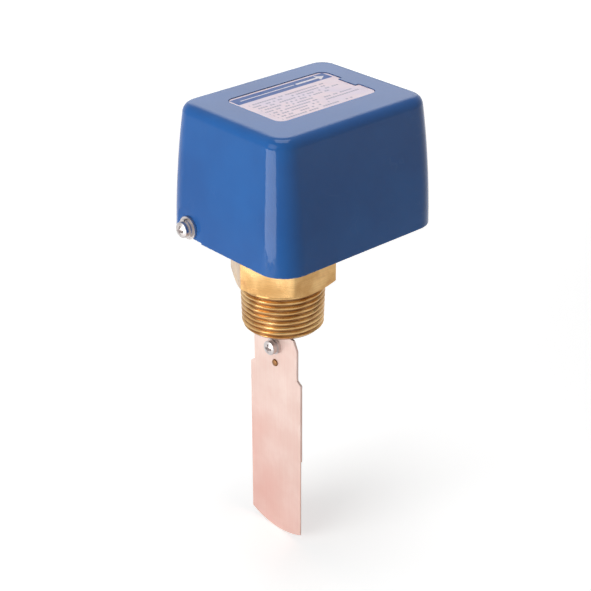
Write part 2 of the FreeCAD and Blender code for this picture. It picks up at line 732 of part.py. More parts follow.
def make_base_pan():
    """A drawn tray under the cover, drilled for the spigot and for all that it carries."""
    body = new_body("base_pan_blank")
    floor = sketch_on(body, "XY", EDGE)
    round_rectangle(floor, "cover_middle", "0", PAN_LONG, PAN_WIDE, PAN_CORNER)
    tray = pad(body, floor, "pan_rim_tall")
    soften(body, tray, "pan_bend", lambda edge: at_height(edge, number(EDGE)))
    hollow = sketch_on(body, "XY", RIM_TOP)
    round_rectangle(hollow, "cover_middle", "0", f"{PAN_LONG} - 2 * pan_wall",
                    f"{PAN_WIDE} - 2 * pan_wall", f"{PAN_CORNER} - pan_wall")
    pocket(body, hollow, "pan_rim_tall - pan_wall")
    middle = drill("pan_spigot_hole", f"{SPIGOT_WIDE} + 2 * running_gap", "pan_wall", ("0", "0", EDGE))
    tapped = drill("pan_screw_hole", "cover_screw_wide + 2 * running_gap", "pan_wall",
                   (f"{SKIRT_BACK} + skirt_gap", "cover_screw_side", SCREW_Z), "X")
    earth = drill("pan_earth_hole", "earth_wide + 2 * running_gap", "pan_wall",
                  ("earth_forward", "earth_side", EDGE))
    pairs = []
    for side in BOTH:
        pairs.append(drill("pan_frame_hole", "frame_screw_wide + 2 * running_gap", "pan_wall",
                           (FOOT_X, f"{side}{FOOT_Y}", EDGE)))
        pairs.append(drill("pan_rivet_hole", "rivet_wide + 2 * tight_gap", "pan_wall",
                           (RIVET_X, f"{side}rivet_spread / 2", EDGE)))
    return node(cut("base_pan_drilled", body, middle, tapped, earth, *pairs), "base_pan")


def make_ring_nut():
    """A slotted nut on the spigot, which clamps the yoke and the pan to the hexagon."""
    body = new_body("ring_nut")
    section = sketch_on(body, "XZ")
    inner, outer = f"{SPIGOT_WIDE} / 2 + running_gap", f"{RING_NUT_WIDE} / 2"
    outline(section, [
        (inner, YOKE_FLOOR),
        (outer, YOKE_FLOOR),
        (outer, f"{RING_NUT_TOP} - ring_nut_bevel"),
        (f"{outer} - ring_nut_bevel", RING_NUT_TOP),
        (inner, RING_NUT_TOP),
    ])
    spin(body, section)
    notch = sketch_on(body, "XY", f"{RING_NUT_TOP} + overcut")
    half, root = "ring_nut_slot_wide / 2", f"{outer} - ring_nut_slot_deep"
    outline(notch, [
        (root, f"-{half}"), (f"{outer} + overcut", f"-{half}"),
        (f"{outer} + overcut", half), (root, half),
    ])
    slot = pocket(body, notch, "ring_nut_tall + 2 * overcut")
    ring = body.newObject("PartDesign::PolarPattern", "ring_nut_slots")
    ring.Originals = [slot]
    ring.Axis = ([item for item in body.Origin.OriginFeatures if item.Role == "Z_Axis"][0], [""])
    ring.Angle = 360
    ring.Occurrences = int(SIZES["ring_nut_slots"])
    body.Tip = ring
    return node(body, "ring_nut")


def make_conduit_plate():
    """An angle that carries the conduit hole, riveted to the pan's floor."""
    body = new_body("conduit_plate_blank")
    face = sketch_on(body, "YZ", PLATE_BACK)
    half = "conduit_plate_wide / 2"
    outline(face, [(f"-{half}", FLOOR), (half, FLOOR), (half, PLATE_TOP), (f"-{half}", PLATE_TOP)])
    upright = pad(body, face, "conduit_plate_wall")
    soften(body, upright, "conduit_plate_corner",
           lambda edge: at_height(edge, number(PLATE_TOP)) and edge.BoundBox.YLength < 0.01)
    foot = sketch_on(body, "XY", FLOOR)
    foot_end = f"{PLATE_BACK} - conduit_foot"
    lap = f"{PLATE_BACK} + conduit_plate_wall / 2"
    outline(foot, [(foot_end, f"-{half}"), (lap, f"-{half}"), (lap, half), (foot_end, half)])
    angle = pad(body, foot, "conduit_plate_wall")

    def bend_edge(x, z):
        return lambda edge: (edge.BoundBox.YLength > number(half) and at_height(edge, number(z))
                             and abs(edge.BoundBox.XMin - number(x)) < 0.01)

    bent = soften(body, angle, "conduit_plate_wall", bend_edge(PLATE_FRONT, FLOOR))
    soften(body, bent, "conduit_inner_bend", bend_edge(PLATE_BACK, f"{FLOOR} + conduit_plate_wall"))
    hole = drill("conduit_bore", "conduit_hole", "conduit_plate_wall", (PLATE_BACK, "0", CONDUIT_Z), "X")
    rivet_holes = [drill("foot_rivet_hole", "rivet_wide + 2 * tight_gap", "conduit_plate_wall",
                         (RIVET_X, f"{side}rivet_spread / 2", FLOOR)) for side in BOTH]
    node(cut("conduit_angle", body, hole, *rivet_holes), "conduit_plate")
    rivets = [headed("rivet", "rivet_head_wide", "rivet_head_tall", "rivet_wide",
                     "conduit_plate_wall + pan_wall",
                     (RIVET_X, f"{side}rivet_spread / 2", f"{FLOOR} + conduit_plate_wall"))
              for side in BOTH]
    node(group("rivets", *rivets), "conduit_plate_rivets")


def make_earth_screw():
    """A hexagon head with a washer under it, for the earthing wire."""
    head = doc.addObject("Part::Prism", "earth_head")
    head.Polygon = 6
    bind(head, Circumradius="earth_head_flats / 2 / cos(30)", Height="earth_head_tall")
    stand(head, "earth_forward", "earth_side", f"{FLOOR} + earth_washer_tall")
    washer = rod("earth_washer", "earth_washer_wide", "earth_washer_tall",
                 ("earth_forward", "earth_side", FLOOR))
    shank = rod("earth_shank", "earth_wide", "earth_screw_proud + pan_wall + earth_washer_tall",
                ("earth_forward", "earth_side", f"{EDGE} - earth_screw_proud"))
    return node(join("earth", head, washer, shank), "earth_screw")


# ---- lever work ----------------------------------------------------------------------------------


def make_yoke():
    """A plate clamped on the spigot, with an ear either side for the pivot pin and a guide behind."""
    body = new_body("yoke_blank")
    base = sketch_on(body, "XY", FLOOR)
    outline(base, [
        (f"-{YOKE_BACK}", f"-{EAR_OUT}"),
        ("yoke_front", f"-{EAR_OUT}"),
        ("yoke_front", EAR_OUT),
        (f"-{YOKE_BACK}", EAR_OUT),
    ])
    plate = pad(body, base, "yoke_wall")
    soften(body, plate, "yoke_corner", is_upright)
    ears = sketch_on(body, "XZ")
    top, half = f"({PIN_Z} + ear_round)", "ear_wide / 2"
    outline(ears, [(f"-{half}", FLOOR), (half, FLOOR), (half, top), (f"-{half}", top)])
    wings = pad(body, ears, f"2 * {EAR_OUT}", midplane=True)
    soften(body, wings, "ear_round", lambda edge: at_height(edge, number(top))
           and edge.BoundBox.XLength < 0.01)
    gap = sketch_on(body, "XZ")
    outline(gap, [
        (f"-{half} - overcut", YOKE_FLOOR),
        (f"{half} + overcut", YOKE_FLOOR),
        (f"{half} + overcut", f"{top} + overcut"),
        (f"-{half} - overcut", f"{top} + overcut"),
    ])
    pocket(body, gap, YOKE_INSIDE, midplane=True)
    guide = sketch_on(body, "YZ", f"-{YOKE_BACK}")
    outline(guide, [
        ("-guide_wide / 2", FLOOR), ("guide_wide / 2", FLOOR),
        ("guide_wide / 2", GUIDE_TOP), ("-guide_wide / 2", GUIDE_TOP),
    ])
    pad(body, guide, "yoke_wall")
    hole = drill("yoke_spigot_hole", f"{SPIGOT_WIDE} + 2 * running_gap", "yoke_wall", ("0", "0", FLOOR))
    pin_hole = drill("yoke_pin_hole", "pin_wide + 2 * tight_gap", f"2 * {EAR_OUT}",
                     ("0", f"-{EAR_OUT}", PIN_Z), "Y")
    node(cut("yoke_bored", body, hole, pin_hole), "yoke")

    shaft = rod("pin_shaft", "pin_wide", f"2 * {EAR_OUT} + pin_overhang", ("0", f"-{EAR_OUT}", PIN_Z), "Y")
    head = rod("pin_head", "pin_head_wide", "pin_head_tall",
               ("0", f"-{EAR_OUT} - pin_head_tall", PIN_Z), "Y")
    node(join("pin", shaft, head), "pivot_pin")
    clip = cut(
        "clip",
        rod("clip_disc", "clip_wide", "clip_tall", ("0", EAR_OUT, PIN_Z), "Y"),
        drill("clip_bore", "pin_wide + 2 * tight_gap", "clip_tall", ("0", EAR_OUT, PIN_Z), "Y"),
        block("clip_mouth", "clip_mouth_wide", "clip_tall + 2 * overcut", "clip_wide",
              ("-clip_mouth_wide / 2", f"{EAR_OUT} - overcut", f"{PIN_Z} - clip_wide")),
    )
    node(clip, "pin_clip")


def make_rocker():
    """The hub on the pin, with a socket for the stem below and a flat head for the arm above."""
    half_hub = f"({YOKE_INSIDE} / 2 - hub_side_gap)"
    under = f"({PIN_Z} - socket_deep)"
    hub = rod("rocker_hub", "hub_wide", f"2 * {half_hub}", ("0", f"-{half_hub}", PIN_Z), "Y")
    head = block("rocker_head", "rocker_block", "rocker_block", "rocker_head_tall",
                 ("-rocker_block / 2", "-rocker_block / 2", PIN_Z))
    socket = rod("rocker_socket", "socket_wide", "socket_deep", ("0", "0", under))
    pin_bore = drill("rocker_bore", "pin_wide + 2 * running_gap", f"2 * {half_hub}",
                     ("0", f"-{half_hub}", PIN_Z), "Y")
    stem_bore = rod("rocker_stem_bore", "stem_wide + 2 * tight_gap", "socket_deep - socket_end + overcut",
                    ("0", "0", f"{under} - overcut"))
    taps = [rod("rocker_tap", "arm_screw_wide + 2 * tight_gap", "arm_screw_reach + tap_room + overcut",
                (f"{sign}arm_screw_spread / 2", "0", f"{ARM_UNDER} - arm_screw_reach - tap_room"))
            for sign in BOTH]
    rocker = cut("rocker_bored", join("rocker_solid", hub, head, socket), pin_bore, stem_bore, *taps)
    return node(rocker, "rocker")


def make_arm():
    """A flat arm on the rocker: the range spring pushes under its back, its front works the switch."""
    body = new_body("range_arm_blank")
    plan = sketch_on(body, "XY", ARM_UNDER)
    neck, half, waist = "arm_neck / 2", "arm_wide / 2", "rocker_block / 2"
    outline(plan, [
        (f"-{ARM_BACK}", f"-{half}"),
        (f"-{waist} - arm_neck_run", f"-{half}"),
        (f"-{waist}", f"-{neck}"),
        (waist, f"-{neck}"),
        (f"{waist} + arm_neck_run", f"-{half}"),
        (ARM_FRONT, f"-{half}"),
        (ARM_FRONT, half),
        (f"{waist} + arm_neck_run", half),
        (waist, neck),
        (f"-{waist}", neck),
        (f"-{waist} - arm_neck_run", half),
        (f"-{ARM_BACK}", half),
    ])
    plate = pad(body, plan, "arm_wall")
    ends = (-number(ARM_BACK), number(ARM_FRONT))
    soften(body, plate, "arm_corner",
           lambda edge: is_upright(edge) and min(abs(edge.BoundBox.XMin - end) for end in ends) < 0.01)
    spring_hole = drill("arm_spring_hole", "arm_hole_wide", "arm_wall", (RANGE_X, "0", ARM_UNDER))
    holes = [drill("arm_hole", "arm_screw_wide + 2 * running_gap", "arm_wall",
                   (f"{sign}arm_screw_spread / 2", "0", ARM_UNDER)) for sign in BOTH]
    node(cut("arm_drilled", body, spring_hole, *holes), "range_arm")
    screws = [headed("arm_screw", "arm_head_wide", "arm_head_tall", "arm_screw_wide",
                     "arm_screw_reach + arm_wall", (f"{sign}arm_screw_spread / 2", "0", ARM_TOP))
              for sign in BOTH]
    node(group("arm_screw_pair", *screws), "arm_screws")


def make_range_adjuster():
    """A screw hung from the shelf, a nut that it raises, and the spring between nut and arm."""
    head = rod("range_head", "range_head_wide", "range_head_tall", (RANGE_X, "0", FRAME_TOP))
    shank = rod("range_shank", "range_screw_wide", f"{FRAME_TOP} - {RANGE_SCREW_END}",
                (RANGE_X, "0", RANGE_SCREW_END))
    slot = block("range_slot", "range_head_wide + 2 * overcut", "range_slot_wide",
                 "range_slot_deep + overcut",
                 (f"{RANGE_X} - range_head_wide / 2 - overcut", "-range_slot_wide / 2",
                  f"{FRAME_TOP} + range_head_tall - range_slot_deep"))
    node(cut("range_screw_slotted", join("range_screw_solid", head, shank), slot), "range_screw")

    nut = cut(
        "range_nut_tapped",
        block("range_nut_block", "range_nut_long", "range_nut_wide", "range_nut_tall",
              (f"{RANGE_X} - range_nut_long / 2", "-range_nut_wide / 2", NUT_UNDER)),
        drill("range_nut_bore", "range_screw_wide + 2 * running_gap", "range_nut_tall",
              (RANGE_X, "0", NUT_UNDER)),
    )
    node(nut, "range_nut")

    body = new_body("range_spring")
    section = sketch_on(body, "XZ")
    coil = "(spring_wide - spring_wire) / 2"
    outline(section, [(f"{coil} + spring_wire / 2 * cos({60 * k})",
                       f"spring_wire / 2 + spring_wire / 2 * sin({60 * k})") for k in range(6)])
    helix = body.newObject("PartDesign::AdditiveHelix", "spring_coil")
    helix.Profile = section
    helix.ReferenceAxis = (section, ["V_Axis"])
    helix.Mode = "height-turns-angle"
    bind(helix, Height=f"{ARM_UNDER} - {NUT_TOP} - spring_wire", Turns="spring_turns")
    stand(body, RANGE_X, "0", NUT_TOP)
    return node(body, "range_spring")


def make_frame():
    """A bent plate that carries the snap switch and, on its shelf, the range screw."""
    body = new_body("mechanism_frame_blank")
    face = sketch_on(body, "YZ", "frame_front")
    half = "frame_wide / 2"
    shoulder = f"{WINDOW_TOP} + frame_shoulder"
    outline(face, [
        (f"-{LEG_OUT}", FLOOR),
        (f"-{LEG_IN}", FLOOR),
        (f"-{LEG_IN}", WINDOW_TOP),
        (LEG_IN, WINDOW_TOP),
        (LEG_IN, FLOOR),
        (LEG_OUT, FLOOR),
        (LEG_OUT, shoulder),
        (half, f"{shoulder} + frame_shoulder_run"),
        (half, FRAME_TOP),
        (f"-{half}", FRAME_TOP),
        (f"-{half}", f"{shoulder} + frame_shoulder_run"),
        (f"-{LEG_OUT}", shoulder),
    ])
    upright = pad(body, face, "frame_wall")
    soften(body, upright, "frame_corner",
           lambda edge: at_height(edge, number(FRAME_TOP)) and edge.BoundBox.YLength < 0.01)
    shelf = sketch_on(body, "XY", SHELF_UNDER)
    reach, lap = "shelf_wide / 2", "frame_front + frame_wall / 2"
    outline(shelf, [
        (f"-{SHELF_BACK}", f"-{reach}"), (lap, f"-{reach}"), (lap, reach), (f"-{SHELF_BACK}", reach),
    ])
    ledge = pad(body, shelf, "frame_wall")
    soften(body, ledge, "shelf_corner", lambda edge: is_upright(edge)
           and abs(edge.BoundBox.XMin + number(SHELF_BACK)) < 0.01)
    feet = sketch_on(body, "XY", FLOOR)
    for sign in BOTH:
        near, far = (f"{sign}{LEG_IN}", f"{sign}{LEG_OUT}")
        outline(feet, [
            (lap, near), (f"{CASE_BACK} + foot_long", near),
            (f"{CASE_BACK} + foot_long", far), (lap, far),
        ])
    pad(body, feet, "frame_wall")
    holes = [drill("shelf_hole", "range_screw_wide + 2 * running_gap", "frame_wall",
                   (RANGE_X, "0", SHELF_UNDER))]
    for sign in BOTH:
        holes.append(drill("foot_hole", "frame_screw_wide + 2 * running_gap", "frame_wall",
                           (FOOT_X, f"{sign}{FOOT_Y}", FLOOR)))
        holes.append(drill("frame_case_hole", "case_screw_wide + 2 * running_gap", "frame_wall",
                           ("frame_front", f"{sign}case_screw_spread / 2", CASE_SCREW_Z), "X"))
    node(cut("frame_drilled", body, *holes), "mechanism_frame")
    screws = [headed("frame_screw", "frame_head_wide", "frame_head_tall", "frame_screw_wide",
                     "frame_wall + pan_wall + frame_screw_proud",
                     (FOOT_X, f"{sign}{FOOT_Y}", f"{FLOOR} + frame_wall")) for sign in BOTH]
    node(group("frame_screw_pair", *screws), "frame_screws")


def make_switch():
    """A snap switch in two moulded halves, hung with its plunger down over the arm."""
    spots = [f"{place} * terminal_spread" for place in (-1, 0, 1)]
    for name, back, deep in (("switch_case", CASE_BACK, "case_deep"),
                             ("switch_lid", f"({CASE_BACK} + case_deep)", "lid_deep")):
        body = new_body(name + "_blank")
        face = sketch_on(body, "YZ", back)
        round_rectangle(face, "0", f"{CASE_UNDER} + case_tall / 2", "case_long", "case_tall", "case_edge")
        pad(body, face, deep)
        tools = [drill(name + "_hole", "case_screw_wide + 2 * running_gap", deep,
                       (back, f"{sign}case_screw_spread / 2", CASE_SCREW_Z), "X") for sign in BOTH]
        tools.append(rod(name + "_guide", "plunger_wide + 2 * running_gap",
                         "plunger_in + plunger_travel + plunger_room + overcut",
                         (PLUNGER_X, "0", f"{CASE_UNDER} - overcut")))
        tools += [rod(name + "_well", "terminal_screw_wide + 2 * tight_gap", "terminal_well + overcut",
                      (PLUNGER_X, spot, f"{CASE_TOP} - terminal_well")) for spot in spots]
        node(cut(name + "_cored", body, *tools), name)
    stalk = rod("plunger_stalk", "plunger_wide", "plunger_proud + plunger_in",
                (PLUNGER_X, "0", f"{CASE_UNDER} - plunger_proud"))
    dome = doc.addObject("Part::Chamfer", "plunger_dome")
    dome.Base = stalk
    doc.recompute()
    tip, bevel = number(f"{CASE_UNDER} - plunger_proud"), number("plunger_round")
    dome.Edges = [(i, bevel, bevel) for i, edge in enumerate(stalk.Shape.Edges, 1) if at_height(edge, tip)]
    node(dome, "switch_plunger")
    screws = [headed("case_screw", "case_head_wide", "case_head_tall", "case_screw_wide",
                     "case_deep + lid_deep + frame_wall + case_screw_proud",
                     (f"{CASE_BACK} + case_deep + lid_deep", f"{sign}case_screw_spread / 2",
                      CASE_SCREW_Z), "X") for sign in BOTH]
    node(group("case_screw_pair", *screws), "switch_screws")
    tabs, screws = [], []
    for spot in spots:
        tab = block("terminal_tab", "terminal_long", "terminal_wide", "terminal_tall",
                    (f"{PLUNGER_X} - terminal_long / 2", f"{spot} - terminal_wide / 2", CASE_TOP))
        hole = drill("terminal_hole", "terminal_screw_wide + 2 * running_gap", "terminal_tall",
                     (PLUNGER_X, spot, CASE_TOP))
        tabs.append(cut("terminal", tab, hole))
        screws.append(headed("terminal_screw", "terminal_head_wide", "terminal_head_tall",
                             "terminal_screw_wide", "terminal_tall + terminal_well - tap_room",
                             (PLUNGER_X, spot, f"{CASE_TOP} + terminal_tall")))
    node(group("terminal_row", *tabs), "switch_terminals")
    node(group("terminal_screw_row", *screws), "terminal_screws")


# ---- cover ---------------------------------------------------------------------------------------


def cover_form(name, inset, top, edge_kind, edge_size):
    """The cover's drafted form through three level sections, set in by a wall, its top edge eased."""
    sections = []
    for level, end_draft, side_draft, corner in (
        (EDGE, "0", "0", "cover_corner"),
        (f"{EDGE} + waist_height", "waist_draft", "waist_side_draft", "waist_corner"),
        (COVER_TOP, "crown_draft", "crown_side_draft", "crown_corner"),
    ):
        section = doc.addObject("Sketcher::SketchObject", name + "_section")
        stand(section, z=level)
        round_rectangle(section, "cover_middle", "0",
                        f"cover_long - 2 * {end_draft} - 2 * ({inset})",
                        f"cover_wide - 2 * {side_draft} - 2 * ({inset})", f"{corner} - ({inset})")
        sections.append(section)
    loft = doc.addObject("Part::Loft", name + "_loft")
    loft.Sections = sections
    loft.Solid = True
    loft.Ruled = edge_kind == "Chamfer"
    room = block(name + "_room", "cover_long", "cover_wide", f"{top} - {EDGE}",
                 (END_BACK, "-cover_wide / 2", EDGE))
    form = doc.addObject("Part::Common", name + "_form")
    form.Base = loft
    form.Tool = room
    eased = doc.addObject("Part::" + edge_kind, name)
    eased.Base = form
    doc.recompute()
    level, size = number(top), number(edge_size)
    eased.Edges = [(i, size, size) for i, edge in enumerate(form.Shape.Edges, 1) if at_height(edge, level)]
    return eased


def plate_form(name, margin, low, tall):
    """The nameplate's outline, grown by a margin, with the notch in its downstream edge."""
    body = new_body(name)
    face = sketch_on(body, "XY", low)
    middle = "(cover_middle + plate_forward)"
    round_rectangle(face, middle, "plate_side", f"plate_long + 2 * {margin}",
                    f"plate_wide + 2 * {margin}", f"plate_corner + {margin}")
    pad(body, face, tall)
    edge = f"({middle} + plate_long / 2 + {margin})"
    half = f"(plate_notch_wide / 2 - {margin})"
    notch = sketch_on(body, "XY", f"{low} + {tall} + overcut")
    outline(notch, [
        (f"{edge} - plate_notch_deep", f"plate_side - {half}"),
        (f"{edge} + overcut", f"plate_side - {half}"),
        (f"{edge} + overcut", f"plate_side + {half}"),
        (f"{edge} - plate_notch_deep", f"plate_side + {half}"),
    ])
    pocket(body, notch, f"{tall} + 2 * overcut")
    return body


def upright_slot(name, wide, height, x, y, long):
    """A slot through an end wall, open at the cover's lower edge, with a round top."""
    top = rod(name + "_round", wide, long, (x, y, height), "X")
    shaft = block(name + "_run", long, wide, f"{height} - {EDGE} + overcut",
                  (x, f"{y} - ({wide}) / 2", f"{EDGE} - overcut"))
    return join(name, top, shaft)


def make_cover():
    """The cover's shell, lapped over the pan's rim, with its slots and the nameplate's recess."""
    shell = cover_form("cover_outside", "0", COVER_TOP, "Fillet", "crown_fillet")
    core = cover_form("cover_inside", "cover_wall", f"({COVER_TOP} - cover_wall)",
                      "Chamfer", "crown_fillet - cover_wall")
    skirt = new_body("cover_skirt")
    rebate = sketch_on(skirt, "XY", f"{EDGE} - overcut")
    round_rectangle(rebate, "cover_middle", "0", "cover_long - 2 * skirt_wall",
                    "cover_wide - 2 * skirt_wall", "cover_corner - skirt_wall")
    pad(skirt, rebate, "pan_rim_tall + seat_gap + overcut")
    outside = f"({END_BACK} - overcut)"
    screw_slot = upright_slot("cover_screw_slot", "screw_slot_wide", SCREW_Z, outside,
                              "cover_screw_side", "cover_wall + waist_draft + 2 * overcut")
    screw_pad = upright_slot("cover_screw_pad", "screw_pad_wide", SCREW_Z, outside,
                             "cover_screw_side", f"{PAD_PLANE} - {outside}")
    notch = upright_slot("cover_conduit_notch", "conduit_notch", CONDUIT_Z,
                         f"({PLATE_FRONT} - overcut)", "0", f"{END_FRONT} - {PLATE_FRONT} + 2 * overcut")
    recess_floor = f"({COVER_TOP} - plate_recess)"
    recess = plate_form("cover_recess", "plate_margin", recess_floor, "(plate_recess + overcut)")
    cover = cut("cover_cut", shell, core, skirt, screw_slot, screw_pad, notch, recess)
    node(cover, "cover")
    node(plate_form("nameplate_form", "0", recess_floor, "plate_tall"), "nameplate")


def make_cover_screw():
    """The screw, lock washer and flat washer that clamp the cover to the pan's rim."""
    flat_face = f"({PAD_PLANE} - seat_gap - cover_washer_tall)"
    lock_face = f"({flat_face} - cover_lock_tall)"
    place = ("cover_screw_side", SCREW_Z)
    flat = cut(
        "cover_washer_bored",
        rod("cover_washer_disc", "cover_washer_wide", "cover_washer_tall", (flat_face, *place), "X"),
        drill("cover_washer_bore", "cover_screw_wide + 2 * washer_gap", "cover_washer_tall",
              (flat_face, *place), "X"),
    )
    node(flat, "cover_washer")
    node(split_washer("cover_lock", "cover_lock_wide", "cover_screw_wide", "cover_lock_tall",
                      lock_face, *place), "cover_lock_washer")
    node(headed("cover_screw_solid", "cover_head_wide", "cover_head_tall", "cover_screw_wide",
                "cover_screw_reach", (lock_face, *place), "X", -1), "cover_screw")


# ---- the whole assembly --------------------------------------------------------------------------

make_fitting()
make_bellows()
make_stem()
make_paddle()
make_base_pan()
make_ring_nut()
make_conduit_plate()
make_earth_screw()
make_yoke()
make_rocker()
make_arm()
make_range_adjuster()
make_frame()
make_switch()
make_cover()
make_cover_screw()
doc.recompute()

failed = [item.Label for item in doc.Objects if "Invalid" in item.State or "Error" in item.State]
for thing in NODES:
    if thing.Shape.isNull() or not thing.Shape.isValid() or not thing.Shape.Solids:
        failed.append(thing.Label)
if failed:
    raise RuntimeError("these did not build: " + ", ".join(failed))

os.makedirs("parts", exist_ok=True)
for thing in NODES:
    thing.Shape.exportStep(f"parts/{thing.Label}.step")
    print(f"{thing.Label}: {len(thing.Shape.Solids)} solid(s), {thing.Shape.Volume:.1f} mm3")
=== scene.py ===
import math

import bmesh
import bpy
import numpy as np
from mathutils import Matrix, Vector


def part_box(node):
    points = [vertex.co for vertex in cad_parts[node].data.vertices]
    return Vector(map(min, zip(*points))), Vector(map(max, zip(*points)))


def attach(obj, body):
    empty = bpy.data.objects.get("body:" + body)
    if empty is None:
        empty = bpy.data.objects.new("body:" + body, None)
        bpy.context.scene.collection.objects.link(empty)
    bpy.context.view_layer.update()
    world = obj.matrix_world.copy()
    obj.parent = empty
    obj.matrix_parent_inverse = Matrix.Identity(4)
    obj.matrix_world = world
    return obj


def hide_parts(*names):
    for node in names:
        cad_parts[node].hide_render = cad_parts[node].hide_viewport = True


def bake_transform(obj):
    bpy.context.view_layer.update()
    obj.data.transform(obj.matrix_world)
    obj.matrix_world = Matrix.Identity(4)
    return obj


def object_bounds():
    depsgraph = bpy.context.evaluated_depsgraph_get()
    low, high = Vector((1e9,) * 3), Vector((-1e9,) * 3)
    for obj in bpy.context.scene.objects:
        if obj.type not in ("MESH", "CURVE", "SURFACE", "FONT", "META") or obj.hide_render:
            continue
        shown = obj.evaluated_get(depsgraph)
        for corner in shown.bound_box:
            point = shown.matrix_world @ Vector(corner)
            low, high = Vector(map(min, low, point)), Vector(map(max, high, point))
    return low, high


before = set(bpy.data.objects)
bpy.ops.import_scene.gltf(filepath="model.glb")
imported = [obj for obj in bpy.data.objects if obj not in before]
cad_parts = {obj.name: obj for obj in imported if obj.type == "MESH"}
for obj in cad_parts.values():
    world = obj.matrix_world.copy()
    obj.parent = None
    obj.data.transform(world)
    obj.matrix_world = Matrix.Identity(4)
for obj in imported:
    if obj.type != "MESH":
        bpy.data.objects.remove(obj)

# A paddle flow switch, dressed on its CAD frame. Metres; the thread's axis is Z and the liquid flows along +X.

cadLow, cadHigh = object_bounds()
mm = 0.001
print("frame loaded:", len(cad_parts), "nodes")


def corners(node):
    # the low and high corner of a CAD node's box at rest
    low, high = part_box(node)
    return np.array(low), np.array(high)


def spokes(axis, sides):
    # two directions square to the axis, swept through a full turn: cos(angle) * across + sin(angle) * along
    axis = np.array(axis, float)
    helper = np.array((1.0, 0.0, 0.0)) if abs(axis[2]) > 0.9 else np.array((0.0, 0.0, 1.0))
    across = np.cross(helper, axis)
    across /= np.linalg.norm(across)
    along = np.cross(axis, across)
    angle = np.linspace(0, 2 * math.pi, sides, endpoint=False)
    return angle, np.cos(angle)[:, None] * across + np.sin(angle)[:, None] * along


def turned(origin, axis, radius, height, sides):
    # a profile carried round an axis: origin + axis * height + spoke * radius, each may change with the angle
    angle, spoke = spokes(axis, sides)
    radius = np.broadcast_to(radius, (len(radius), sides))
    height = np.broadcast_to(height, (len(height), sides))
    return np.array(origin) + height[..., None] * np.array(axis, float) + radius[..., None] * spoke


def gridFaces(rows, cols, wrapRows):
    # quads between neighbours of a grid whose columns close round
    row = np.arange(rows if wrapRows else rows - 1)[:, None]
    col = np.arange(cols)[None, :]
    nextRow, nextCol = (row + 1) % rows, (col + 1) % cols
    quads = (row * cols + col, row * cols + nextCol, nextRow * cols + nextCol, nextRow * cols + col)
    return np.stack(np.broadcast_arrays(*quads), -1).reshape(-1, 4)


def makePiece(name, grids, material, wrapRows=False, sharpAngle=35):
    # several grids of points become one mesh; rows that shrink to a point are merged into a pole
    points, faces, start = [], [], 0
    for grid in grids:
        rows, cols = grid.shape[:2]
        points.append(grid.reshape(-1, 3))
        faces.append(gridFaces(rows, cols, wrapRows) + start)
        start += rows * cols
    mesh = bpy.data.meshes.new(name)
    mesh.from_pydata(np.concatenate(points).tolist(), [], np.concatenate(faces).tolist())
    work = bmesh.new()
    work.from_mesh(mesh)
    bmesh.ops.remove_doubles(work, verts=work.verts, dist=1e-7)
    bmesh.ops.dissolve_degenerate(work, edges=work.edges, dist=1e-8)
    bmesh.ops.recalc_face_normals(work, faces=work.faces)
    work.to_mesh(mesh)
    work.free()
    mesh.shade_smooth()
    mesh.set_sharp_from_angle(angle=math.radians(sharpAngle))
    mesh.materials.append(material)
    piece = bpy.data.objects.new(name, mesh)
    bpy.context.scene.collection.objects.link(piece)
    return piece


def fitOut(piece, body, node):
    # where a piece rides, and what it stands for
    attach(piece, body)
    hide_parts(node)
    return piece


def addNode(tree, kind, settings=None, **inputs):
    node = tree.nodes.new(kind)
    for key, value in (settings or {}).items():
        setattr(node, key, value)
    for key, value in inputs.items():
        setInput(tree, node.inputs[key.replace("_", " ")], value)
    return node


def setInput(tree, socket, value):
    if isinstance(value, bpy.types.NodeSocket):
        tree.links.new(value, socket)
    else:
        socket.default_value = value


def math2(tree, operation, first, second=0.0, third=0.0):
    node = tree.nodes.new("ShaderNodeMath")
    node.operation = operation
    for place, value in enumerate((first, second, third)):
        setInput(tree, node.inputs[place], value)
    return node.outputs[0]


def ramp(tree, value, low, high, toLow=0.0, toHigh=1.0):
    # a smooth step from toLow to toHigh as value goes from low to high, held flat outside
    node = tree.nodes.new("ShaderNodeMapRange")
    node.interpolation_type = "SMOOTHSTEP"
    for place, entry in enumerate((value, low, high, toLow, toHigh)):
        setInput(tree, node.inputs[place], entry)
    return node.outputs[0]


def mixColour(tree, amount, first, second):
    node = tree.nodes.new("ShaderNodeMix")
    node.data_type = "RGBA"
    for place, value in ((0, amount), (6, first), (7, second)):
        setInput(tree, node.inputs[place], value)
    return node.outputs[2]


def newGroup(name, inputs, outputs):
    # an empty node group with its sockets, and the two nodes that stand for its inside ends
    group = bpy.data.node_groups.new(name, "ShaderNodeTree")
    kinds = {"value": "NodeSocketFloat", "colour": "NodeSocketColor", "vector": "NodeSocketVector"}
    for label, kind, start in inputs:
        socket = group.interface.new_socket(name=label, in_out="INPUT", socket_type=kinds[kind])
        if start is not None:
            socket.default_value = start
    for label, kind in outputs:
        group.interface.new_socket(name=label, in_out="OUTPUT", socket_type=kinds[kind])
    return group, group.nodes.new("NodeGroupInput"), group.nodes.new("NodeGroupOutput")


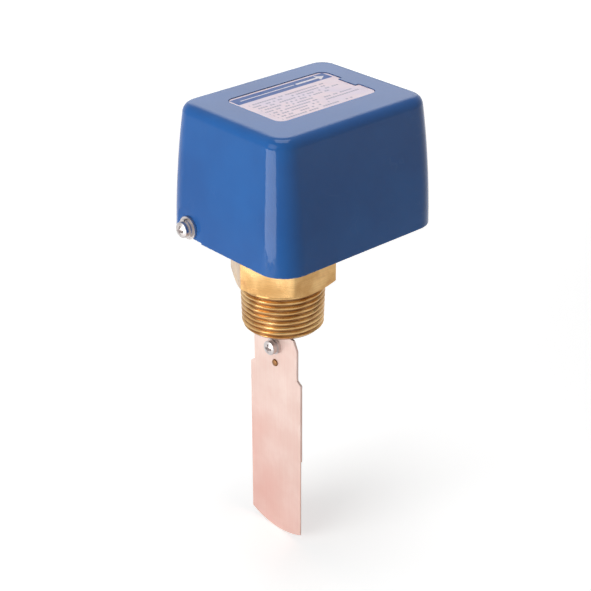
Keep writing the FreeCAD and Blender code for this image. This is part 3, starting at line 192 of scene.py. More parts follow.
def buildGrain():
    # fine surface grain: a height from two sizes of noise, and a slow drift of tone and roughness
    group, given, out = newGroup(
        "surfaceGrain",
        [("Vector", "vector", None), ("Scale", "value", 900.0), ("Drift Scale", "value", 60.0)],
        [("Height", "value"), ("Drift", "value"), ("Smudge", "value")],
    )
    fine = addNode(group, "ShaderNodeTexNoise", Vector=given.outputs["Vector"],
                   Scale=given.outputs["Scale"], Detail=4.0, Roughness=0.6)
    slow = addNode(group, "ShaderNodeTexNoise", Vector=given.outputs["Vector"],
                   Scale=given.outputs["Drift Scale"], Detail=3.0, Roughness=0.55)
    rub = addNode(group, "ShaderNodeTexNoise", Vector=given.outputs["Vector"],
                  Scale=math2(group, "MULTIPLY", given.outputs["Drift Scale"], 2.7), Detail=6.0,
                  Roughness=0.6)
    group.links.new(fine.outputs["Fac"], out.inputs["Height"])
    group.links.new(slow.outputs["Fac"], out.inputs["Drift"])
    group.links.new(ramp(group, rub.outputs["Fac"], low=0.45, high=0.75), out.inputs["Smudge"])
    return group


def buildStreaks():
    # drawn or turned marks: noise squeezed along one direction, given by the stretch
    group, given, out = newGroup(
        "toolStreaks",
        [("Vector", "vector", None), ("Stretch", "vector", (1.0, 1.0, 20.0)), ("Scale", "value", 120.0)],
        [("Height", "value"), ("Line", "value")],
    )
    place = addNode(group, "ShaderNodeMapping", Vector=given.outputs["Vector"], Scale=given.outputs["Stretch"])
    lines = addNode(group, "ShaderNodeTexNoise", Vector=place.outputs["Vector"],
                    Scale=given.outputs["Scale"], Detail=3.0, Roughness=0.7)
    group.links.new(lines.outputs["Fac"], out.inputs["Height"])
    group.links.new(ramp(group, lines.outputs["Fac"], low=0.35, high=0.7), out.inputs["Line"])
    return group


def buildScratches():
    # thin hairline scratches: the crease between cells of a stretched cell pattern
    group, given, out = newGroup(
        "hairScratches",
        [("Vector", "vector", None), ("Scale", "value", 70.0), ("Amount", "value", 0.5)],
        [("Mask", "value")],
    )
    bent = addNode(group, "ShaderNodeTexNoise", Vector=given.outputs["Vector"], Scale=35.0, Detail=2.0)
    shift = addNode(group, "ShaderNodeVectorMath", {"operation": "MULTIPLY_ADD"})
    group.links.new(bent.outputs["Color"], shift.inputs[0])
    shift.inputs[1].default_value = (0.02, 0.02, 0.02)
    group.links.new(given.outputs["Vector"], shift.inputs[2])
    place = addNode(group, "ShaderNodeMapping", Vector=shift.outputs[0], Scale=(1.0, 6.0, 1.5),
                    Rotation=(0.3, 0.5, 0.7))
    cells = addNode(group, "ShaderNodeTexVoronoi", {"feature": "DISTANCE_TO_EDGE"},
                    Vector=place.outputs["Vector"], Scale=given.outputs["Scale"])
    thin = ramp(group, cells.outputs["Distance"], low=0.0, high=0.035, toLow=1.0, toHigh=0.0)
    some = addNode(group, "ShaderNodeTexNoise", Vector=given.outputs["Vector"], Scale=90.0, Detail=1.0)
    kept = math2(group, "MULTIPLY", thin, ramp(group, some.outputs["Fac"], low=0.55, high=0.7))
    group.links.new(math2(group, "MULTIPLY", kept, given.outputs["Amount"]), out.inputs["Mask"])
    return group


grainGroup, streakGroup, scratchGroup = buildGrain(), buildStreaks(), buildScratches()


def useGroup(tree, group, **inputs):
    node = tree.nodes.new("ShaderNodeGroup")
    node.node_tree = group
    for key, value in inputs.items():
        setInput(tree, node.inputs[key.replace("_", " ")], value)
    return node


def newFinish(name):
    material = bpy.data.materials.new(name)
    material.use_nodes = True
    tree = material.node_tree
    shader = tree.nodes["Principled BSDF"]
    where = tree.nodes.new("ShaderNodeTexCoord").outputs["Object"]
    return material, tree, shader, where


def shade(colour, share):
    return tuple(channel * share for channel in colour[:3]) + (1.0,)


def solid(colour):
    return tuple(colour) + (1.0,)


def connect(tree, shader, tone, rough, bump):
    # the last links that every finish shares
    setInput(tree, shader.inputs["Base Color"], tone)
    setInput(tree, shader.inputs["Roughness"], rough)
    setInput(tree, shader.inputs["Normal"], bump.outputs["Normal"])


plainDefaults = {"drift": 60.0, "scratch": 0.3, "scratchTone": 1.25, "scratchRough": 0.15, "streakScale": 120.0,
                 "streakTone": 0.2, "streakShade": 0.78, "deep": 0.05 * mm, "metal": 0.0}


def plainFinish(name, look):
    # the finish that most pieces share: tone drift, smudges, hairlines, tool streaks and a fine bump
    look = {**plainDefaults, **look}
    material, tree, shader, where = newFinish(name)
    colour = look["colour"]
    grain = useGroup(tree, grainGroup, Vector=where, Scale=look["grain"], Drift_Scale=look["drift"])
    tone = mixColour(tree, ramp(tree, grain.outputs["Drift"], low=0.3, high=0.7),
                     shade(colour, 1 - look["spread"]), shade(colour, 1 + look["spread"]))
    scratch = useGroup(tree, scratchGroup, Vector=where, Amount=look["scratch"])
    tone = mixColour(tree, scratch.outputs["Mask"], tone, shade(colour, look["scratchTone"]))
    height = grain.outputs["Height"]
    if "stretch" in look:
        streak = useGroup(tree, streakGroup, Vector=where, Stretch=look["stretch"], Scale=look["streakScale"])
        height = math2(tree, "ADD", streak.outputs["Height"], height)
        tone = mixColour(tree, math2(tree, "MULTIPLY", streak.outputs["Line"], look["streakTone"]),
                         tone, shade(colour, look["streakShade"]))
    rough = math2(tree, "MULTIPLY_ADD", grain.outputs["Smudge"], look["roughSpread"], look["rough"])
    rough = math2(tree, "MULTIPLY_ADD", scratch.outputs["Mask"], look["scratchRough"], rough)
    bump = addNode(tree, "ShaderNodeBump", Strength=look["bump"], Distance=look["deep"], Height=height)
    connect(tree, shader, tone, rough, bump)
    shader.inputs["Metallic"].default_value = look["metal"]
    return material


plainLooks = {
    "bronze": {"colour": (0.70, 0.42, 0.24), "spread": 0.10, "grain": 900.0, "rough": 0.28, "roughSpread": 0.12,
               "metal": 1.0, "bump": 0.12, "stretch": (1.0, 1.0, 14.0), "scratch": 0.2},
    "stainless": {"colour": (0.56, 0.55, 0.53), "spread": 0.06, "grain": 1200.0, "rough": 0.24, "roughSpread": 0.14,
                  "metal": 1.0, "bump": 0.12, "stretch": (1.0, 1.0, 16.0), "scratch": 0.4},
    "screws": {"colour": (0.54, 0.50, 0.49), "spread": 0.08, "grain": 1500.0, "rough": 0.28, "roughSpread": 0.16,
               "metal": 1.0, "bump": 0.10, "stretch": (14.0, 1.0, 1.0), "scratch": 0.5},
    "spring_steel": {"colour": (0.42, 0.43, 0.46), "spread": 0.10, "grain": 1600.0, "rough": 0.26,
                     "roughSpread": 0.12, "metal": 1.0, "bump": 0.10, "scratch": 0.3},
    "zinc_plate": {"colour": (0.55, 0.56, 0.54), "spread": 0.10, "drift": 45.0, "grain": 700.0, "rough": 0.48,
                   "roughSpread": 0.16, "metal": 1.0, "bump": 0.14, "stretch": (9.0, 1.0, 9.0), "scratch": 0.7},
    "die_cast": {"colour": (0.52, 0.52, 0.52), "spread": 0.09, "grain": 420.0, "rough": 0.46, "roughSpread": 0.14,
                 "metal": 1.0, "bump": 0.35, "deep": 0.12 * mm, "scratch": 0.2},
    "switch_moulding": {"colour": (0.032, 0.029, 0.027), "spread": 0.15, "grain": 1300.0, "rough": 0.38,
                        "roughSpread": 0.14, "bump": 0.12, "scratch": 0.4, "scratchTone": 2.2},
    "lid_moulding": {"colour": (0.115, 0.045, 0.026), "spread": 0.18, "grain": 1100.0, "rough": 0.34,
                     "roughSpread": 0.14, "bump": 0.14, "scratch": 0.5, "scratchTone": 1.8},
    "plunger_moulding": {"colour": (0.52, 0.045, 0.03), "spread": 0.08, "grain": 1500.0, "rough": 0.22,
                         "roughSpread": 0.12, "bump": 0.06, "scratch": 0.2},
    "earth_green": {"colour": (0.03, 0.25, 0.085), "spread": 0.14, "grain": 1200.0, "rough": 0.26,
                    "roughSpread": 0.14, "metal": 0.75, "bump": 0.10, "scratch": 0.6},
}
finishes = {slotName: plainFinish(slotName + "Finish", look) for slotName, look in plainLooks.items()}
print("plain finishes:", len(finishes))

paintLook = {
    "colour": (0.008, 0.125, 0.43),
    "deeper": (0.006, 0.098, 0.36),
    "rough": 0.22, "roughSpread": 0.05,
    "coat": 0.42, "coatRough": 0.05, "gloss": 0.06,
    "peelScale": 330.0, "peelDeep": 0.06 * mm, "peel": 0.15, "drift": 26.0,
    "scratch": 0.07, "scratchScale": 85.0, "scratchTone": (0.10, 0.24, 0.52),
    "chipEdge": 0.55 * mm,  # how high the worn band on the lower edge reaches
    "chipScale": 520.0, "wornTone": (0.20, 0.27, 0.42), "wornRough": 0.25, "wornDeep": 0.6,
}


def paintFinish(look):
    # gloss enamel: orange peel, slight pooling of tone, rubbed lower edge with pin-head chips
    material, tree, shader, where = newFinish("coverPaint")
    grain = useGroup(tree, grainGroup, Vector=where, Scale=look["peelScale"], Drift_Scale=look["drift"])
    drift = ramp(tree, grain.outputs["Drift"], low=0.3, high=0.7)
    tone = mixColour(tree, drift, solid(look["deeper"]), solid(look["colour"]))
    scratch = useGroup(tree, scratchGroup, Vector=where, Amount=look["scratch"], Scale=look["scratchScale"])
    tone = mixColour(tree, scratch.outputs["Mask"], tone, solid(look["scratchTone"]))
    height = addNode(tree, "ShaderNodeSeparateXYZ", Vector=where).outputs["Z"]
    edge = corners("cover")[0][2]
    rubbed = ramp(tree, height, low=edge, high=edge + look["chipEdge"], toLow=1.0, toHigh=0.0)
    chips = addNode(tree, "ShaderNodeTexNoise", Vector=where, Scale=look["chipScale"], Detail=3.0)
    worn = math2(tree, "MULTIPLY", rubbed, ramp(tree, chips.outputs["Fac"], low=0.52, high=0.6))
    tone = mixColour(tree, worn, tone, solid(look["wornTone"]))
    rough = math2(tree, "MULTIPLY_ADD", grain.outputs["Smudge"], look["roughSpread"], look["rough"])
    rough = math2(tree, "MULTIPLY_ADD", worn, look["wornRough"], rough)
    height = math2(tree, "SUBTRACT", grain.outputs["Height"], math2(tree, "MULTIPLY", worn, look["wornDeep"]))
    bump = addNode(tree, "ShaderNodeBump", Strength=look["peel"], Distance=look["peelDeep"], Height=height)
    connect(tree, shader, tone, rough, bump)
    shader.inputs["Specular IOR Level"].default_value = look["gloss"]
    shader.inputs["Coat Weight"].default_value = look["coat"]
    shader.inputs["Coat Roughness"].default_value = look["coatRough"]
    return material


finishes["cover"] = paintFinish(paintLook)

plateLook = {
    "foil": (0.66, 0.58, 0.68),
    "foilWarm": (0.74, 0.61, 0.66),
    "ink": (0.025, 0.10, 0.36),
    "print": (0.22, 0.22, 0.32),
    "bandLow": 10.4 * mm, "bandHigh": 16.2 * mm,  # across the plate
    "bandStart": 0.9 * mm, "bandEnd": 1.2 * mm,  # from the plate's two ends
    "tipGap": 3.0 * mm,  # from the arrow's tip to the plate's end
    "headTall": 2.3 * mm, "headLong": 3.6 * mm,  # heights here are half heights
    "shaftTall": 0.6325 * mm, "shaftLong": 11.0 * mm, "shaftLap": 0.2 * mm,
    "ruleTall": 0.28 * mm, "ruleStart": 4.0 * mm, "ruleGap": 12.0 * mm,
    "arrow": (0.85, 0.80, 0.86),
    "rowPitch": 2.3 * mm, "rowShare": 0.42, "dashLong": 1.15 * mm, "dashShare": 0.8,
    "rowsLow": -11.6 * mm, "rowsHigh": 8.8 * mm,
    "leftOut": 0.34, "shortRow": 0.55, "printDark": 0.75,
    "margin": 3.0 * mm,
    "rough": 0.36, "roughSpread": 0.12, "bump": 0.08, "deep": 0.03 * mm, "metal": 0.25, "gloss": 0.22,
}


def inside(tree, value, low, high, soft=0.06 * mm):
    # 1 between low and high with soft edges, 0 outside
    rise = ramp(tree, value, low=low - soft, high=low + soft)
    fall = ramp(tree, value, low=high - soft, high=high + soft, toLow=1.0, toHigh=0.0)
    return math2(tree, "MULTIPLY", rise, fall)


def plateFinish(look):
    # printed foil: a dark band with a plain arrow that points along the flow, and broken ruled rows below it
    low, high = corners("nameplate")
    material, tree, shader, where = newFinish("nameplateFoil")
    split = addNode(tree, "ShaderNodeSeparateXYZ", Vector=where)
    along, across = split.outputs["X"], split.outputs["Y"]
    grain = useGroup(tree, grainGroup, Vector=where, Scale=1400.0, Drift_Scale=70.0)
    drift = ramp(tree, grain.outputs["Drift"], low=0.35, high=0.65)
    tone = mixColour(tree, drift, solid(look["foil"]), solid(look["foilWarm"]))
    # rows of short dashes, some left out, as on a form that isn't filled in
    row = math2(tree, "DIVIDE", math2(tree, "SUBTRACT", across, look["rowsLow"]), look["rowPitch"])
    rowId, rowPart = math2(tree, "FLOOR", row), math2(tree, "FRACT", row)
    dash = math2(tree, "DIVIDE", along, look["dashLong"])
    cell = addNode(tree, "ShaderNodeCombineXYZ", X=math2(tree, "FLOOR", dash), Y=rowId)
    pick = addNode(tree, "ShaderNodeTexWhiteNoise", {"noise_dimensions": "2D"}, Vector=cell.outputs[0])
    words = math2(tree, "GREATER_THAN", pick.outputs["Value"], look["leftOut"])
    gap = math2(tree, "LESS_THAN", math2(tree, "FRACT", dash), look["dashShare"])
    inked = math2(tree, "MULTIPLY", math2(tree, "MULTIPLY", words, gap),
                  math2(tree, "LESS_THAN", rowPart, look["rowShare"]))
    rowPick = addNode(tree, "ShaderNodeTexWhiteNoise", {"noise_dimensions": "1D"}, W=rowId)
    rowEnd = ramp(tree, rowPick.outputs["Value"], low=0.0, high=1.0,
                  toLow=low[0] + look["shortRow"] * (high[0] - low[0]), toHigh=high[0] - look["margin"])
    field = math2(tree, "MULTIPLY", inside(tree, across, look["rowsLow"], look["rowsHigh"]),
                  math2(tree, "MULTIPLY", math2(tree, "GREATER_THAN", along, low[0] + look["margin"]),
                        math2(tree, "LESS_THAN", along, rowEnd)))
    printed = math2(tree, "MULTIPLY", math2(tree, "MULTIPLY", inked, field), look["printDark"])
    tone = mixColour(tree, printed, tone, solid(look["print"]))
    # the band and its arrow
    band = math2(tree, "MULTIPLY", inside(tree, across, look["bandLow"], look["bandHigh"]),
                 math2(tree, "GREATER_THAN", along, low[0] + look["bandStart"]))
    band = math2(tree, "MULTIPLY", band, math2(tree, "LESS_THAN", along, high[0] - look["bandEnd"]))
    middle = (look["bandLow"] + look["bandHigh"]) / 2
    off = math2(tree, "ABSOLUTE", math2(tree, "SUBTRACT", across, middle))
    tip = high[0] - look["tipGap"]
    headStart = tip - look["headLong"]
    slope = math2(tree, "DIVIDE", math2(tree, "SUBTRACT", tip, along), look["headLong"])
    taper = math2(tree, "MULTIPLY", slope, look["headTall"])
    head = math2(tree, "MULTIPLY", math2(tree, "LESS_THAN", off, taper),
                 math2(tree, "GREATER_THAN", along, headStart))
    shaft = math2(tree, "MULTIPLY", math2(tree, "LESS_THAN", off, look["shaftTall"]),
                  inside(tree, along, headStart - look["shaftLong"], headStart + look["shaftLap"]))
    rule = math2(tree, "MULTIPLY", math2(tree, "LESS_THAN", off, look["ruleTall"]),
                 inside(tree, along, low[0] + look["ruleStart"], headStart - look["ruleGap"]))
    arrow = math2(tree, "MAXIMUM", math2(tree, "MAXIMUM", head, shaft), rule)
    tone = mixColour(tree, band, tone, solid(look["ink"]))
    tone = mixColour(tree, math2(tree, "MULTIPLY", band, arrow), tone, solid(look["arrow"]))
    streak = useGroup(tree, streakGroup, Vector=where, Stretch=(1.0, 30.0, 1.0), Scale=60.0)
    rough = math2(tree, "MULTIPLY_ADD", grain.outputs["Smudge"], look["roughSpread"], look["rough"])
    bump = addNode(tree, "ShaderNodeBump", Strength=look["bump"], Distance=look["deep"],
                   Height=math2(tree, "ADD", grain.outputs["Height"], streak.outputs["Height"]))
    connect(tree, shader, tone, rough, bump)
    bare = math2(tree, "SUBTRACT", 1.0, band)
    setInput(tree, shader.inputs["Metallic"], math2(tree, "MULTIPLY", bare, look["metal"]))
    shader.inputs["Specular IOR Level"].default_value = look["gloss"]
    return material


finishes["nameplate"] = plateFinish(plateLook)

brassLook = {
    "colour": (0.47, 0.26, 0.095),
    "bright": (0.72, 0.47, 0.21),
    # this dark brown serves both the brown stain patches and the painted shade in the thread roots
    "stainAndRootShade": (0.15, 0.05, 0.022),
    "rough": 0.20, "roughSpread": 0.16,
    "streakTone": 0.25, "streakShade": 0.62,
    "rootFrom": 0.25 * mm, "rootShadeShare": 0.72, "rootRough": 0.25,  # the darker thread roots
    "patchTone": 0.35, "patchShade": 2.2,
    "bump": 0.16, "deep": 0.04 * mm,
}


def brassFinish(look):
    # bar brass: turning marks that ring the thread, painted shade darkening the thread roots below the hexagon, and
    # brown stain patches
    material, tree, shader, where = newFinish("turnedBrass")
    split = addNode(tree, "ShaderNodeSeparateXYZ", Vector=where)
    grain = useGroup(tree, grainGroup, Vector=where, Scale=900.0, Drift_Scale=85.0)
    streak = useGroup(tree, streakGroup, Vector=where, Stretch=(1.0, 1.0, 26.0), Scale=95.0)
    drift = ramp(tree, grain.outputs["Drift"], low=0.3, high=0.7)
    tone = mixColour(tree, drift, solid(look["colour"]), solid(look["bright"]))
    line = math2(tree, "MULTIPLY", streak.outputs["Line"], look["streakTone"])
    tone = mixColour(tree, line, tone, shade(look["colour"], look["streakShade"]))
    reach = addNode(tree, "ShaderNodeVectorMath", {"operation": "LENGTH"})
    flat = addNode(tree, "ShaderNodeCombineXYZ", X=split.outputs["X"], Y=split.outputs["Y"])
    tree.links.new(flat.outputs[0], reach.inputs[0])
    crest = math2(tree, "MULTIPLY_ADD", split.outputs["Z"], fittingLook["taper"] / 2, fittingLook["wide"] / 2)
    depth = math2(tree, "SUBTRACT", crest, reach.outputs["Value"])
    below = ramp(tree, split.outputs["Z"], low=-0.4 * mm, high=0.2 * mm, toLow=1.0, toHigh=0.0)
    # painted shade: the deeper a point lies in a thread root below the hexagon, the more it takes the dark brown
    root = math2(tree, "MULTIPLY", ramp(tree, depth, low=look["rootFrom"], high=fittingLook["deep"]), below)
    tone = mixColour(tree, math2(tree, "MULTIPLY", root, look["rootShadeShare"]), tone, solid(look["stainAndRootShade"]))
    patch = addNode(tree, "ShaderNodeTexNoise", Vector=where, Scale=130.0, Detail=4.0, Roughness=0.65)
    stained = math2(tree, "MULTIPLY", ramp(tree, patch.outputs["Fac"], low=0.56, high=0.74), look["patchTone"])
    tone = mixColour(tree, stained, tone, shade(look["stainAndRootShade"], look["patchShade"]))
    rough = math2(tree, "MULTIPLY_ADD", grain.outputs["Smudge"], look["roughSpread"], look["rough"])
    rough = math2(tree, "MULTIPLY_ADD", root, look["rootRough"], rough)
    bump = addNode(tree, "ShaderNodeBump", Strength=look["bump"], Distance=look["deep"],
                   Height=math2(tree, "ADD", grain.outputs["Height"], streak.outputs["Height"]))
    connect(tree, shader, tone, rough, bump)
    shader.inputs["Metallic"].default_value = 1.0
    return material


fittingLook = {
    "sides": 180, "bore": 12.0 * mm, "boreEdge": 0.4 * mm,
    "wide": 33.4 * mm, "taper": 0.0625,
    "pitch": 2.2 * mm, "deep": 0.9 * mm,
    "crest": 0.30, "flank": 0.52,  # shares of half a pitch: the flat crest and the sloping flank
    "lead": 1.2 * mm,  # bevel at the free end
    "runout": 1.8 * mm,  # where the thread fades out under the hexagon
    "rowsPerPitch": 10,
    "cornerCut": 0.13 * mm, "roundFace": 18.3 * mm, "bevel": 30.0, "hexEdge": 0.25 * mm,
    "spigot": 15.0 * mm, "spigotEdge": 0.5 * mm, "seatWide": 13.0 * mm, "seatDeep": 3.0 * mm,
}
finishes["brass"] = brassFinish(brassLook)

leafLook = {
    "colour": (0.80, 0.59, 0.52),
    "pale": (0.86, 0.68, 0.61),
    "salmon": (0.80, 0.38, 0.32),
    "rough": 0.38, "roughSpread": 0.12,
    "tintHigh": -40.0 * mm, "tintLow": -100.0 * mm,  # the warm tint grows down the leaf
    "sideFrom": -12.0 * mm, "sideTo": 15.0 * mm, "sideLeast": 0.55,  # and towards one edge
    "cloudLeast": 0.45, "tint": 0.75, "streakTone": 0.12, "streakShade": 0.9,
    "scratch": 0.35, "scratchRough": 0.2, "bump": 0.12, "deep": 0.03 * mm, "metal": 0.35,
}


def leafFinish(look):
    # rolled bronze strip: long rolling lines, a warmer salmon tone that grows towards the tip and one edge, faint
    # mottling
    material, tree, shader, where = newFinish("rolledLeaf")
    split = addNode(tree, "ShaderNodeSeparateXYZ", Vector=where)
    grain = useGroup(tree, grainGroup, Vector=where, Scale=1100.0, Drift_Scale=70.0)
    streak = useGroup(tree, streakGroup, Vector=where, Stretch=(1.0, 24.0, 1.0), Scale=60.0)
    drift = ramp(tree, grain.outputs["Drift"], low=0.35, high=0.68)
    tone = mixColour(tree, drift, solid(look["colour"]), solid(look["pale"]))
    down = ramp(tree, split.outputs["Z"], low=look["tintLow"], high=look["tintHigh"], toLow=1.0, toHigh=0.0)
    side = ramp(tree, split.outputs["Y"], low=look["sideFrom"], high=look["sideTo"], toLow=look["sideLeast"])
    cloud = addNode(tree, "ShaderNodeTexNoise", Vector=where, Scale=30.0, Detail=3.0)
    warm = math2(tree, "MULTIPLY", math2(tree, "MULTIPLY", down, side),
                 ramp(tree, cloud.outputs["Fac"], low=0.25, high=0.75, toLow=look["cloudLeast"]))
    tone = mixColour(tree, math2(tree, "MULTIPLY", warm, look["tint"]), tone, solid(look["salmon"]))
    line = math2(tree, "MULTIPLY", streak.outputs["Line"], look["streakTone"])
    tone = mixColour(tree, line, tone, shade(look["salmon"], look["streakShade"]))
    scratch = useGroup(tree, scratchGroup, Vector=where, Amount=look["scratch"])
    rough = math2(tree, "MULTIPLY_ADD", grain.outputs["Smudge"], look["roughSpread"], look["rough"])
    rough = math2(tree, "MULTIPLY_ADD", scratch.outputs["Mask"], look["scratchRough"], rough)
    bump = addNode(tree, "ShaderNodeBump", Strength=look["bump"], Distance=look["deep"],
                   Height=math2(tree, "ADD", grain.outputs["Height"], streak.outputs["Height"]))
    connect(tree, shader, tone, rough, bump)
    shader.inputs["Metallic"].default_value = look["metal"]
    return material


finishes["paddle_leaf"] = leafFinish(leafLook)

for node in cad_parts.values():
    for holder in node.material_slots:
        holder.material = finishes[holder.material.name.split(".")[0]]
print("finishes on all CAD nodes:", len(finishes))


def fittingGrid(look):
    # section by section up the outside and down the bore; the thread's radius is its cone less a ridged helix,
    # the hexagon's radius is half its flats over the cosine of the angle from the nearest flat
    low, high = corners("pipe_fitting")
    hexTop, bore, spigot = corners("cover")[0][2], look["bore"], look["spigot"]
    flats, cornerReach, roundFace = high[1], high[0] - look["cornerCut"], look["roundFace"]
    sides = look["sides"]
    angle = np.linspace(0, 2 * math.pi, sides, endpoint=False)
    rows = int(round(-low[2] / look["pitch"] * look["rowsPerPitch"]))
    level = np.linspace(low[2], 0.0, rows)[:, None]
    cone = look["wide"] / 2 + level * look["taper"] / 2
    # spokes() starts across the Y axis, so the angle is counted from there
    turn = angle[None, :] / (2 * math.pi)
    phase = (level / look["pitch"] - turn) % 1.0
    ridge = np.clip((np.abs(2 * phase - 1) - look["crest"]) / look["flank"], 0, 1)
    fade = np.clip(-level / look["runout"], 0, 1)
    thread = cone - look["deep"] * ridge * fade
    leadIn = look["wide"] / 2 + low[2] * look["taper"] / 2 - look["lead"] + (level - low[2])
    thread = np.minimum(thread, leadIn)
    across = (angle + math.radians(90)) % math.radians(60) - math.radians(30)
    hexagon = np.minimum(flats / np.cos(across), cornerReach)
    bevel = (hexagon - roundFace) * math.tan(math.radians(look["bevel"]))
    ringTop, seat, seatWide = high[2], high[2] - look["seatDeep"], look["seatWide"]
    hexEdge, spigotEdge = look["hexEdge"], look["spigotEdge"]
    outline = [
        (bore, low[2] + look["boreEdge"]), (bore + look["boreEdge"], low[2]),
        (thread[0], low[2]),
        *[(thread[k], level[k, 0]) for k in range(1, rows)],
        (roundFace, 0.0), (hexagon, bevel),
        (hexagon, hexTop - hexEdge), (hexagon - hexEdge, hexTop),
        (spigot, hexTop), (spigot, ringTop - spigotEdge), (spigot - spigotEdge, ringTop),
        (seatWide, ringTop), (seatWide, seat), (bore, seat),
    ]
    radius = np.array([np.broadcast_to(r, sides) for r, z in outline])
    height = np.array([np.broadcast_to(z, sides) for r, z in outline])
    return turned((0, 0, 0), (0, 0, 1), radius, height, sides)


fitting = makePiece("threadedFitting", [fittingGrid(fittingLook)], finishes["brass"], wrapRows=True, sharpAngle=30)
fitOut(fitting, "base", "pipe_fitting")
print("pipe fitting:", len(fitting.data.polygons), "faces")


screwShape = {"rings": 15, "crown": 0.92, "rim": 0.08,  # shares of the head's radius
              "wallSlope": 0.35, "armSlope": 0.45, "slotSlope": 0.3,  # how much of a recess its walls take
              "rowsPerTurn": 6, "lastTurn": 0.4, "tip": 0.72}


def crossDepth(radius, angle, arm, wide):
    # a cross recess: how deep each point of the head lies inside two crossed bars with sloping walls
    x, y = radius * np.cos(angle), radius * np.sin(angle)
    near = np.minimum(np.abs(x), np.abs(y))
    far = np.maximum(np.abs(x), np.abs(y))
    walls = np.clip((wide - near) / (screwShape["wallSlope"] * wide), 0, 1)
    ends = np.clip((arm - far) / (screwShape["armSlope"] * arm), 0, 1)
    return walls * ends


def slotDepth(radius, angle, wide):
    # a straight slot: how deep each point of the head lies between two sloping walls
    return np.clip((wide - np.abs(radius * np.sin(angle))) / (screwShape["slotSlope"] * wide), 0, 1)


def screwGrid(look, seat, axis, sides=60):
    # head, shank and thread as one profile round the axis, from the head's middle to the shank's end
    angle = np.linspace(0, 2 * math.pi, sides, endpoint=False)[None, :]
    head, tall, shank, long = look["head"] / 2, look["tall"], look["shank"] / 2, look["long"]
    share = np.linspace(0, 1, screwShape["rings"])[:, None]
    radius = np.broadcast_to(head * screwShape["crown"] * share, (screwShape["rings"], sides))
    crown = tall - look["dome"] * share ** 2
    if look["drive"] == "cross":
        sunk = crossDepth(radius, angle, look["reach"], look["blade"])
    else:
        sunk = slotDepth(radius, angle, look["blade"])
    top = crown - look["sink"] * sunk
    rimHeight = tall - look["dome"] - (screwShape["rim"] * head)
    rim = np.stack([np.full(sides, head), np.full(sides, head)])
    rimLevel = np.stack([np.full(sides, rimHeight), np.zeros(sides)])
    if look["drive"] == "slot":
        rimLevel[0] -= np.clip(look["sink"] - look["dome"], 0, None) * slotDepth(head, angle, look["blade"])[0]
    rows = max(2, int(long / look["pitch"]) * screwShape["rowsPerTurn"])
    level = np.linspace(0, -long + screwShape["lastTurn"] * look["pitch"], rows)[:, None]
    phase = (level / look["pitch"] - angle / (2 * math.pi)) % 1.0
    ridge = np.abs(2 * phase - 1)
    thread = shank - look["threadDeep"] * ridge * np.clip(-level / look["pitch"], 0, 1)
    end = np.stack([np.full(sides, shank * screwShape["tip"]), np.zeros(sides)])
    endLevel = np.full((2, sides), -long)
    radii = np.concatenate([radius, rim, np.full((1, sides), shank), thread, end])
    heights = np.concatenate([top, rimLevel, np.zeros((1, sides)), np.broadcast_to(level, thread.shape), endLevel])
    return turned(seat, axis, radii, heights, sides)


coverScrew = {"head": 6.2 * mm, "tall": 2.7 * mm, "dome": 0.75 * mm, "shank": 3.9 * mm, "long": 8.1 * mm,
              "drive": "cross", "reach": 2.0 * mm, "blade": 0.55 * mm, "sink": 1.3 * mm,
              "pitch": 0.7 * mm, "threadDeep": 0.35 * mm}
low, high = corners("cover_screw")
lockLow = corners("cover_lock_washer")[0][0]
seat = (lockLow, (low[1] + high[1]) / 2, (low[2] + high[2]) / 2)
screw = makePiece("coverScrewPiece", [screwGrid(coverScrew, seat, (-1, 0, 0))], finishes["screws"])
fitOut(screw, "cover_screw", "cover_screw")

paddleScrew = {"head": 5.9 * mm, "tall": 3.0 * mm, "dome": 0.6 * mm, "shank": 3.9 * mm, "long": 6.6 * mm,
               "drive": "cross", "reach": 1.95 * mm, "blade": 0.5 * mm, "sink": 1.3 * mm,
               "pitch": 0.7 * mm, "threadDeep": 0.35 * mm}
low, high = corners("paddle_screw")
seat = (corners("paddle_lock_washer")[0][0], (low[1] + high[1]) / 2, (low[2] + high[2]) / 2)
screw = makePiece("paddleScrewPiece", [screwGrid(paddleScrew, seat, (-1, 0, 0))], finishes["screws"])
fitOut(screw, "lever", "paddle_screw")

# the pin that keeps the leaves square to the stem: a plain rod with domed ends
pinLook = {"dome": 0.35 * mm, "sides": 40}


def pinGrid(look):
    # radius and height follow a flat arc at each end, joined by the straight rod
    low, high = corners("locating_pin")
    radius, long = (high[2] - low[2]) / 2, high[0] - low[0]
    turn = np.linspace(0, math.pi / 2, 7)[:, None]
    radii = np.concatenate([radius * np.sin(turn), radius * np.sin(turn[::-1])])
    levels = np.concatenate([long - look["dome"] * (1 - np.cos(turn)), look["dome"] * (1 - np.cos(turn[::-1]))])
    foot = (high[0], (low[1] + high[1]) / 2, (low[2] + high[2]) / 2)
    return turned(foot, (-1, 0, 0), radii, levels, look["sides"])


pin = makePiece("locatingPinPiece", [pinGrid(pinLook)], finishes["brass"])
fitOut(pin, "lever", "locating_pin")

